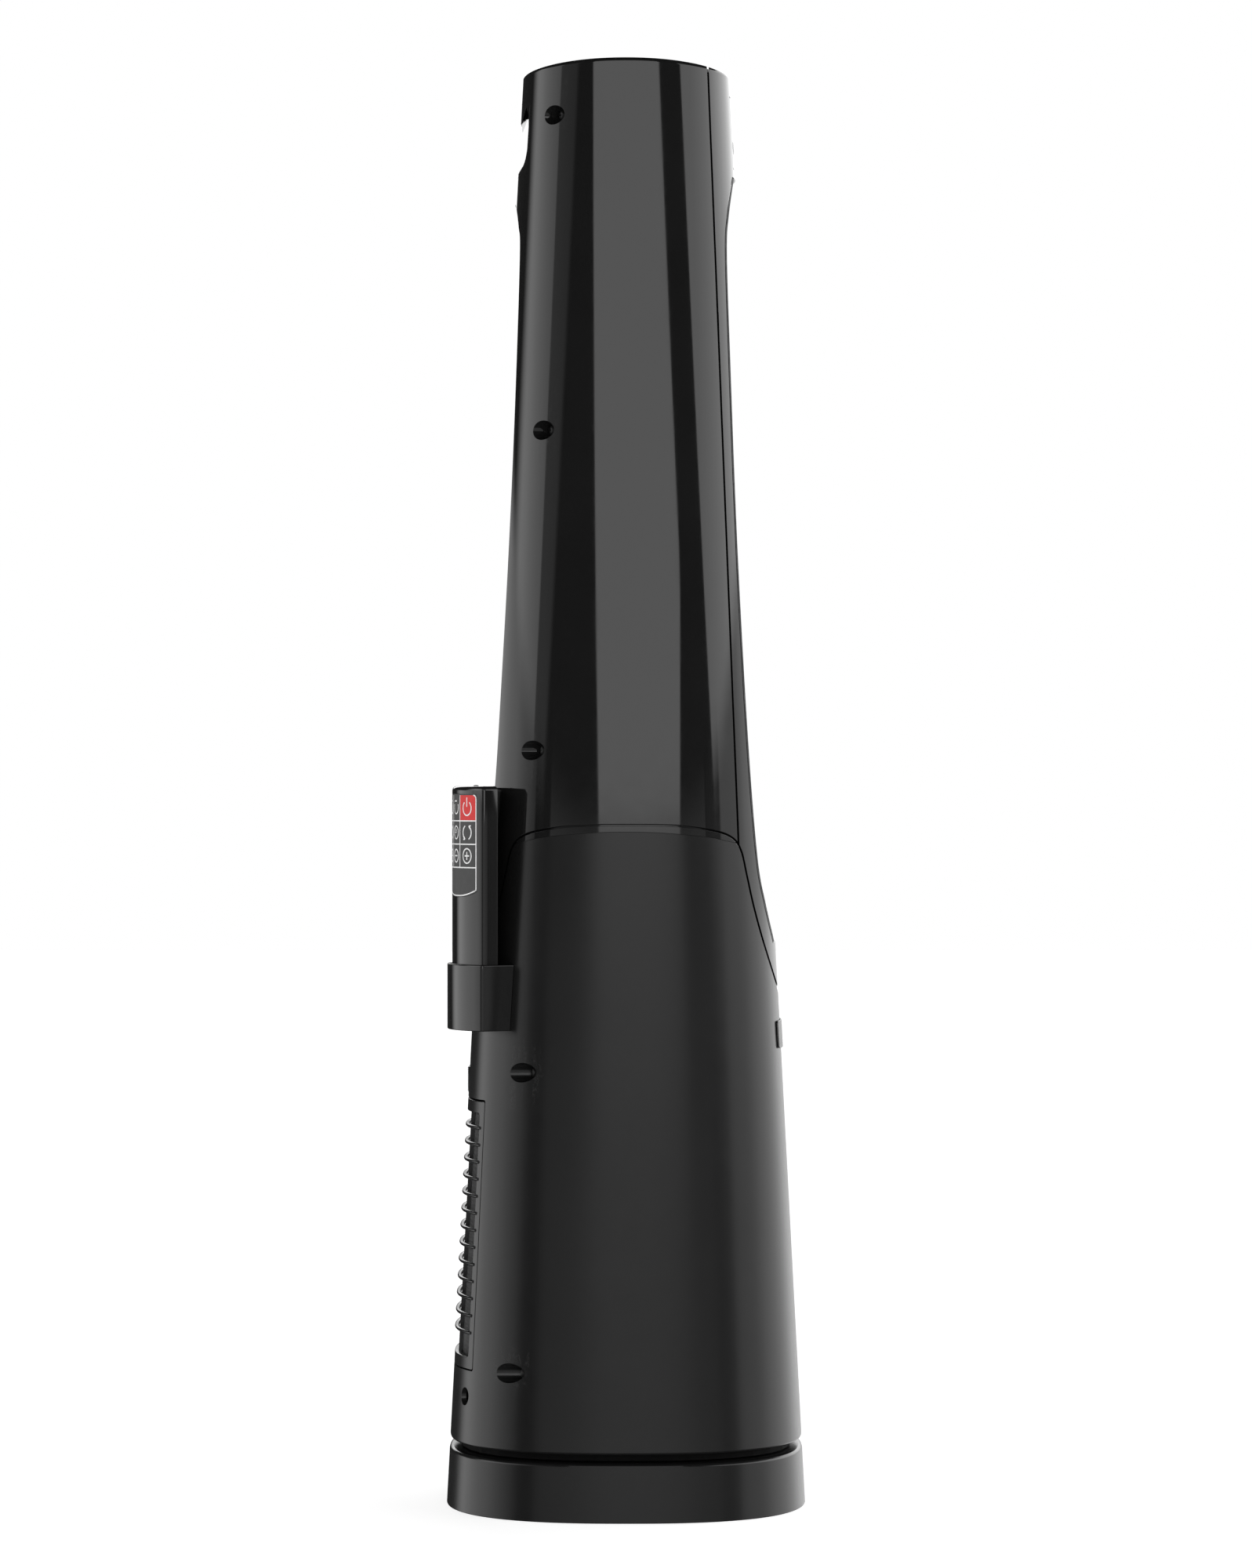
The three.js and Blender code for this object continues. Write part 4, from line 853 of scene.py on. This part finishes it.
def build_handle():
    grip = common(column_form(0, 0), prism("y", handle_outline(0, 3.6), 42, 120))
    under = [(75.2, 924), (72.8, 926.9), (70.9, 929.6), (69.3, 935), (67.8, 946), (67.5, 961), (68.3, 967),
             (69.6, 964), (70.2, 958)]
    channel = [(90, 922.5), *smooth(under, 4), (72, 957), (90, 957)]
    pocket = prism("x", rounded_outline([(46, 934), (80, 934), (69, 970), (46, 970)], 3), -HANDLE_HALF + 4,
                   HANDLE_HALF - 4)
    lip = smooth([(72.4, 957.6), (73.6, 961), (74.2, 966), (74.4, 969)], 4)
    beyond_lip = [(90, 950), (71.4, 956), *lip, (90, 969)]
    cut(grip, pocket, prism("x", channel, -60, 60), prism("x", beyond_lip, -60, 60))
    refined(grip, "carry_handle", "tower", GLOSS_BLACK, 0.0)


build_rear_shell()
build_front_frame()
build_handle()


# ------- outlet grille and control panel
def recess_band(near, far):
    """Outline in (y, z) that follows the recess between two depths behind its finished face."""
    return [*[(-(half - near), z) for half, z in RECESS], *[(-(half - far), z) for half, z in RECESS[::-1]]]


def build_outlet_grille():
    window = front_tool(outlet_outline(0))
    leaf = taper(RECESS_BOTTOM + 0.4, RECESS_TOP - 0.4, 0.3)
    common(leaf, prism("x", recess_band(0, GRILLE_PLATE), -90, 90))
    cut(leaf, duplicate(window))
    rim = common(prism("x", recess_band(0.4, 12), -60, 60), front_tool(outlet_outline(2)))
    join(leaf, cut(rim, window))
    bars = [prism("x", recess_band(1.6, 11), 8.6 * k - 0.9, 8.6 * k + 0.9) for k in range(-3, 4)]
    for i in range(1, 5):
        z = OUTLET_LOW + (OUTLET_HIGH - OUTLET_LOW) * i / 5
        bars.append(common(prism("x", recess_band(3.5, 9), -60, 60), block(-60, 60, -130, -40, z - 1, z + 1)))
    lattice = join(bars[0], *bars[1:])
    common(lattice, front_tool(outlet_outline(1)))
    join(leaf, lattice)
    rounded(leaf, 0.3, angle=50)
    refined(leaf, "outlet_grille", "tower", MATTE_BLACK, 0.3)


def build_panel():
    plate = cut(taper(PANEL_LOW, PANEL_HIGH, 0, 8), taper(PANEL_LOW - 5, PANEL_HIGH + 5, 1.2))
    corners = rectangle(PANEL_HALF, PANEL_LOW, PANEL_HIGH)
    common(plate, prism("y", rounded_outline(corners, 2), -100, -40))
    cut(plate, *[along_y(disc(radius + 0.4, 0, 80), x, -100, z) for _, x, z, radius in BUTTONS])
    rounded(plate, 0.25, angle=50)
    refined(plate, "control_panel", "tower", GLOSS_BLACK, 0.0)
    for name, x, z, radius in BUTTONS:
        face = -plan_y(x, z)
        cap = common(along_y(disc(radius, -3, 4.6), x, face, z), taper(z - 10, z + 10, 0.1, 2))
        rounded(cap, 0.3, 3, angle=50)
        join(cap, along_y(disc(1.6, 4, 7.5), x, face, z))
        node = f"{name}_button"
        refined(cap, node, node, GREY_PLASTIC, 0.1)


build_outlet_grille()
build_panel()


def build_badge():
    plate = cut(taper(BADGE_LOW, BADGE_HIGH, -1.4, 19), taper(BADGE_LOW - 7, BADGE_HIGH + 4, -0.3))
    corners = rectangle(BADGE_HALF, BADGE_LOW, BADGE_HIGH)
    common(plate, prism("y", rounded_outline(corners, 3), -130, -80))
    rounded(plate, 0.35, 3, angle=50)
    refined(plate, "front_badge", "tower", BADGE_GREY, -1.4)


build_badge()


# ------- intake door, filter and latch
def intake_bar(z):
    """A bar of oval section that follows the back, a little proud of the door."""
    half = door_half(z) - 5
    steps = 40
    rings = []
    for i in range(steps + 1):
        x = -half + 2 * half * i / steps
        middle = plan_y(x, z) - 0.8
        rings.append([(x, middle + 1.7 * math.cos(a), z + 1.35 * math.sin(a))
                      for a in (math.tau * k / 16 for k in range(16))])
    return solid(rings)


def build_door():
    skin = cut(taper(90, 290, 0, 12), taper(80, 300, 4))
    panel = common(skin, back_tool(door_outline(0.9, 0.9, 1.2, corner=1.8)))
    cut(panel, back_tool(door_outline(7.5, 9, 9.5, corner=2.5)))
    rounded(panel, 0.45, 3, angle=50)
    ribs = common(cut(taper(95, 285, 2.4), taper(80, 300, 5)), back_tool(door_outline(5, 5, 5)))
    uprights = join(block(-23.2, -20.8, 50, 140, 90, 290), block(20.8, 23.2, 50, 140, 90, 290))
    common(ribs, uprights)
    join(panel, ribs, *[intake_bar(BAR_LOWEST + BAR_PITCH * i) for i in range(BAR_COUNT)])
    refined(panel, "intake_grille", "filter_door", SATIN_BLACK, 0.0)

    case = cut(block(-55, 55, 64, 90, 106, 266), block(-52, 52, 0, 200, 109, 263))
    rounded(case, 0.8, 3)
    refined(case, "filter_frame", "filter_door", NATURAL)

    folds, width = 12, 103.2
    steps = folds * 12
    profile = []
    for i in range(steps + 1):
        x = -width / 2 + width * i / steps
        wave = math.asin(0.97 * math.sin(math.tau * (i / 12 - 0.25))) / math.asin(0.97)
        profile.append((x, 74.3 + 7.2 * wave))
    media = prism("z", [*profile, *[(x, y + 2.4) for x, y in profile[::-1]]], 109.4, 262.6)
    refined(media, "filter_media", "filter_door", PAPER)

    side, foot, head, depth = 3.6, 5.1, 5.6, 5.3
    cloth = cut(taper(DOOR_BOTTOM, DOOR_TOP, depth, 10), taper(DOOR_BOTTOM - 5, DOOR_TOP + 5, 6.4))
    common(cloth, back_tool(door_outline(side, foot, head)))
    refined(cloth, "carbon_sheet", "filter_door", CARBON, angle=60)
    middle = (DOOR_BOTTOM + DOOR_TOP) / 2
    reach = door_half(middle) - side
    across = [(x, plan_y(x, middle, depth)) for x in np.linspace(-reach, reach, 41)]
    width = sum(math.dist(a, b) for a, b in zip(across, across[1:]))

    face = half_depth(LATCH_TOP)
    grip = block(-LATCH_HALF, LATCH_HALF, face - 5, face + 0.8, LATCH_BOTTOM, LATCH_TOP)
    flange = block(-LATCH_HALF - 3, LATCH_HALF + 3, face - 6.5, face - 4.4, LATCH_BOTTOM - 2.6, LATCH_TOP + 1)
    rounded(join(grip, flange), 0.3)
    ribs = []
    section = [(0.4, 0), (1.3, 0.15), (1.5, 0.4), (1.3, 0.65), (0.4, 0.8)]
    for i in range(12):
        z = LATCH_BOTTOM + 1.1 + i * 1.42
        rib = [(face + y, z + up) for y, up in section]
        ribs.append(prism("x", rib, -LATCH_HALF + 1.5, LATCH_HALF - 1.5))
    join(grip, *ribs)
    refined(grip, "door_latch", "door_latch", SATIN_BLACK)


build_door()


# ------- remote control and holder
def arc_outline(radius, half, back, front_corner=0.0, back_corner=0.0):
    """Outline in the remote's own (x, y): an outer arc with straight sides back to y = back."""
    steps = 36
    reach = math.asin(half / radius)
    arc = [(radius * math.sin(a), radius * math.cos(a))
           for a in (reach - 2 * reach * i / steps for i in range(steps + 1))]
    narrow = half - SIDE_LEAN * (arc[0][1] - back)
    if not front_corner:
        return [(narrow, back), *arc, (-narrow, back)]

    inside = [q for q in arc if abs(q[0]) < half - front_corner]
    left, right = (-half, arc[-1][1]), (half, arc[0][1])
    back_right, back_left = (narrow, back), (-narrow, back)
    return [*bend(back_left, back_right, right, back_corner),
            *bend(back_right, right, inside[0], front_corner), *inside,
            *bend(inside[-1], left, back_left, front_corner),
            *bend(left, back_left, back_right, back_corner)]


def inset_outline(points, distance):
    """The outline pulled in by a distance, square to itself."""
    out = []
    area = sum(a[0] * b[1] - b[0] * a[1] for a, b in zip(points, [*points[1:], points[0]]))
    sign = 1 if area > 0 else -1
    for a, b, c in zip([points[-1], *points[:-1]], points, [*points[1:], points[0]]):
        d = Vector(c) - Vector(a)
        d.normalize()
        out.append((b[0] - d.y * distance * sign, b[1] + d.x * distance * sign))
    return out


def bar_form(points, low, high, edge):
    """The outline swept along Z with its end edges rounded."""
    steps = 5
    rings = []
    for i in range(steps + 1):
        turn = math.pi / 2 * i / steps
        rings.append((low + edge * (1 - math.sin(turn)), edge * (1 - math.cos(turn))))
    rings = rings[::-1]
    rings += [(low + high - z, inset) for z, inset in rings[::-1]]
    return solid([[(x, y, z) for x, y in inset_outline(points, inset)] for z, inset in rings])


def to_remote(obj):
    """From the remote's own frame to the object's."""
    return moved(obj, ("Z", HOLDER_YAW), (*HOLDER_CENTRE, 0))


def build_holder():
    outer = bar_form(arc_outline(HOLDER_ARC, HOLDER_HALF, 28, 1.6, 1.6), HOLDER_BOTTOM, HOLDER_TOP, 0.8)
    play = 0.5
    pocket = prism("z", arc_outline(REMOTE_ARC + play, REMOTE_HALF + play, REMOTE_BACK - play),
                   REMOTE_BOTTOM - play, HOLDER_TOP + 5)
    tray_way = block(-13, 13, REMOTE_BACK + 2, REMOTE_BACK + 9, HOLDER_BOTTOM - 5, HOLDER_BOTTOM + 10)
    cut(outer, pocket, tray_way)
    cut(to_remote(outer), taper(HOLDER_BOTTOM - 5, HOLDER_TOP + 5, -GAP, 10))
    refined(outer, "remote_holder", "tower", GLOSS_BLACK)


LABEL_LOW, LABEL_HIGH, LABEL_HALF, LABEL_CORNER = 422.5, 493.2, 24.4, 2.5
LABEL_ROWS = (474.7, 458.7, 442.7)
LABEL_DIVIDERS = (-3.7, 11)
FRAME_LINE = 0.9  # the printed border lies this far inside the label's edge
PRINT_TOP, PRINT_BOTTOM = -0.02, 0.4  # depths below the remote's face


def label_outline(margin):
    """The key label in (x, z): rounded top corners and a bowed foot."""
    half, top = LABEL_HALF - margin, LABEL_HIGH - margin
    foot = [(x, LABEL_LOW + margin + 4 * (abs(x) / half) ** 2.6) for x in np.linspace(-half, half, 25)]
    turns = [math.pi / 2 * i / 6 for i in range(7)]
    right = [(half - LABEL_CORNER * (1 - math.cos(t)), top - LABEL_CORNER * (1 - math.sin(t))) for t in turns]
    return [*foot, *right, *[(-x, z) for x, z in right[::-1]]]


def on_arc(x, z, depth):
    """Point of the remote's face, in its own frame, sunk by depth. x is measured across the face."""
    radius = REMOTE_ARC - depth
    return (x * radius / REMOTE_ARC, math.sqrt(REMOTE_ARC**2 - x**2) * radius / REMOTE_ARC, z)


def band_mesh(lines, width):
    """Printed lines on the remote's face, of square section: (points, closed) pairs with (x, z) points."""
    top, bottom = PRINT_TOP, PRINT_BOTTOM
    stacks = []
    for points, loop in lines:
        pts = [Vector(p) for p in points]
        rings = []
        for i, p in enumerate(pts):
            a = pts[i - 1] if (i > 0 or loop) else p
            b = pts[(i + 1) % len(pts)] if (i + 1 < len(pts) or loop) else p
            d = (b - a).normalized()
            side = Vector((-d.y, d.x)) * width / 2
            quad = [(p + side, top), (p - side, top), (p - side, bottom), (p + side, bottom)]
            rings.append([on_arc(q.x, q.y, depth) for q, depth in quad])
        stacks.append((rings, loop))
    return solids(stacks)


def arc_points(cx, cz, radius, start, end, count=18):
    turns = [math.radians(start + (end - start) * i / count) for i in range(count + 1)]
    return [(cx + radius * math.sin(t), cz + radius * math.cos(t)) for t in turns]


def symbol(kind, cx, cz, r):
    """Strokes of a key symbol about a centre, as (points, closed) pairs."""
    ring = (arc_points(cx, cz, r, 0, 345, 23), True)
    if kind == "power":
        return [(arc_points(cx, cz - 0.1 * r, r, 38, 322), False),
                ([(cx, cz + 0.1 * r), (cx, cz + 1.35 * r)], False)]
    if kind == "turn":
        strokes = []
        for flip in (0, 180):
            strokes.append((arc_points(cx, cz, r, flip + 25, flip + 150), False))
            tip = Vector(arc_points(cx, cz, r, flip + 152, flip + 152, 1)[0])
            for swing in (-0.42, 0.62):
                a = math.radians(flip + 152 - 90 + math.degrees(swing))
                barb = (tip.x + 0.45 * r * math.sin(a), tip.y + 0.45 * r * math.cos(a))
                strokes.append(([tuple(tip), barb], False))
        return strokes
    if kind == "plus":
        s = 0.55 * r
        return [ring, ([(cx - s, cz), (cx + s, cz)], False), ([(cx, cz - s), (cx, cz + s)], False)]
    if kind == "minus":
        return [ring, ([(cx - 0.55 * r, cz), (cx + 0.55 * r, cz)], False)]
    if kind == "clock":
        return [ring, ([(cx, cz + 0.6 * r), (cx, cz), (cx + 0.45 * r, cz)], False)]
    return [(arc_points(cx, cz, r, 60, 300), False),
            ([(cx - 0.3 * r, cz + r), (cx + 0.8 * r, cz + r)], False)]


def build_remote():
    form = bar_form(arc_outline(REMOTE_ARC, REMOTE_HALF, REMOTE_BACK, 2.0, 1.2), REMOTE_BOTTOM, REMOTE_TOP, 3)
    front = common(duplicate(form), block(-40, 40, REMOTE_SPLIT, 90, 300, 520))
    back = common(form, block(-40, 40, 20, REMOTE_SPLIT - 0.06, 300, 520))
    seat = prism("y", label_outline(-0.25), 50, 90)
    cut(seat, disc(REMOTE_ARC - 1.1, 400, 510, 220))
    cut(front, seat)
    nub = lathe([(1.9, 0), (1.9, 0.4), (1.5, 0.8), (0.8, 1.0)], 32)
    moved(nub, (-6, REMOTE_ARC - 11, REMOTE_TOP - 0.2))
    join(front, nub)
    cut(back, block(-11.3, 11.3, REMOTE_BACK + 2.7, REMOTE_BACK + 5.7, REMOTE_BOTTOM - 5,
                    REMOTE_BOTTOM + 28.3))
    refined(to_remote(front), "remote_front", "remote", GLOSS_BLACK)
    refined(to_remote(back), "remote_back", "remote", GLOSS_BLACK)

    label = prism("y", label_outline(0), 40, 90)
    shell = cut(disc(REMOTE_ARC - 0.05, 415, 500, 220), disc(REMOTE_ARC - 0.85, 410, 505, 220))
    common(label, shell)
    refined(to_remote(label), "remote_keypad", "remote", MEMBRANE, angle=50)

    inner = LABEL_HALF - FRAME_LINE
    grid = [np.linspace((-inner, z), (inner, z), 33) for z in LABEL_ROWS]
    grid += [[(x, LABEL_HIGH - FRAME_LINE), (x, LABEL_ROWS[2])] for x in LABEL_DIVIDERS]
    lines = band_mesh([(label_outline(FRAME_LINE), True), *[(points, False) for points in grid]], 0.85)
    columns = [(a + b) / 2 for a, b in zip((-inner, *LABEL_DIVIDERS), (*LABEL_DIVIDERS, inner))]
    rows = [(a + b) / 2 for a, b in zip((LABEL_HIGH, *LABEL_ROWS), LABEL_ROWS)]
    keys = [["power", "plain", "plain"], ["turn", "clock", "turn"], ["plus", "minus", "plus"]]
    strokes = []
    for z, names in zip(rows, keys):
        for x, name in zip(columns, names):
            strokes += symbol(name, x, z, 5.0 if x == columns[0] else 4.4)
    join_meshes(lines, band_mesh(strokes, 0.95))
    piece(to_remote(lines), "remote_key_print", "remote", INK_WHITE)

    cell = prism("y", [(-inner, LABEL_ROWS[0]), (LABEL_DIVIDERS[0], LABEL_ROWS[0]), (LABEL_DIVIDERS[0], 500),
                       (-inner, 500)], 40, 90)
    common(cell, prism("y", label_outline(FRAME_LINE), 30, 100))
    common(cell, cut(disc(REMOTE_ARC - 0.01, 415, 500, 220), disc(REMOTE_ARC - 0.3, 410, 505, 220)))
    piece(to_remote(cell), "remote_power_key", "remote", INK_RED, angle=50)

    slab = block(-11, 11, REMOTE_BACK + 3, REMOTE_BACK + 5.4, REMOTE_BOTTOM, REMOTE_BOTTOM + 28)
    cut(slab, along_y(disc(10, 0, 10), 0, REMOTE_BACK + 3.8, REMOTE_BOTTOM + 15))
    rounded(slab, 0.25)
    refined(to_remote(slab), "battery_tray", "battery_tray", MATTE_BLACK)


def join_meshes(obj, other):
    """Adds another object's mesh to this one as separate shells."""
    bm = bmesh.new()
    bm.from_mesh(obj.data)
    bm.from_mesh(other.data)
    bm.to_mesh(obj.data)
    bm.free()
    discard(other)


build_holder()
build_remote()


# ------- screws
def pan_screw(length):
    """Pan head on z = 0 with a cross recess, and the shank below."""
    head = [(1.5, -length), (1.5, 0), (3.1, 0), (3.3, 0.25), (3.3, 0.9), (3.0, 1.5), (2.3, 2.0), (1.2, 2.3)]
    body = lathe(head, 40)
    return cut(body, *[block(-x, x, -y, y, 1.0, 4) for x, y in ((2.1, 0.35), (0.35, 2.1))])


def build_screws():
    for i, (z, y) in enumerate(POCKETS):
        for side in SIDES:
            level = f"housing_screw_{i + 1}" if i < 2 else f"column_screw_{i - 1}"
            node = f"{level}_{'left' if side < 0 else 'right'}"
            screw = pocket_place(moved(pan_screw(12), (0, 0, 0.3)), z, y, side)
            refined(screw, node, "tower", BLACK_ZINC)
    for i, (x, y) in enumerate([(-96, 0), (96, 0), (0, -96), (0, 96)]):
        screw = moved(pan_screw(9), ("X", 180), (x, y, BASE_BOTTOM + 2.4))
        piece(screw, f"base_screw_fine_{i + 1}", "base", STEEL, [f"base_screw_{i + 1}"])


build_screws()

# ------- CAD nodes that stay
KEPT = {
    # The turntable takes the black with painted shade for the groove above the base.
    "base_plate": MATTE_BLACK, "swing_ring_gear": NATURAL, "glide_ring": NATURAL, "turntable": GROOVE_SHADE_BLACK,
    "thrust_washer": NATURAL, "swivel_nut": STEEL, "swing_motor": STEEL, "panel_board": BOARD,
    "panel_lead": RUBBER, "inlet_ring": MATTE_BLACK, "fan_diffuser": GREY_PLASTIC, "fan_motor": STEEL,
    "power_board": BOARD, "swing_pinion": NATURAL, "impeller": GREY_PLASTIC, "motor_shaft": STEEL,
}
for node, finish in KEPT.items():
    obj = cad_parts[node]
    obj.data.materials.clear()
    obj.data.materials.append(finish)
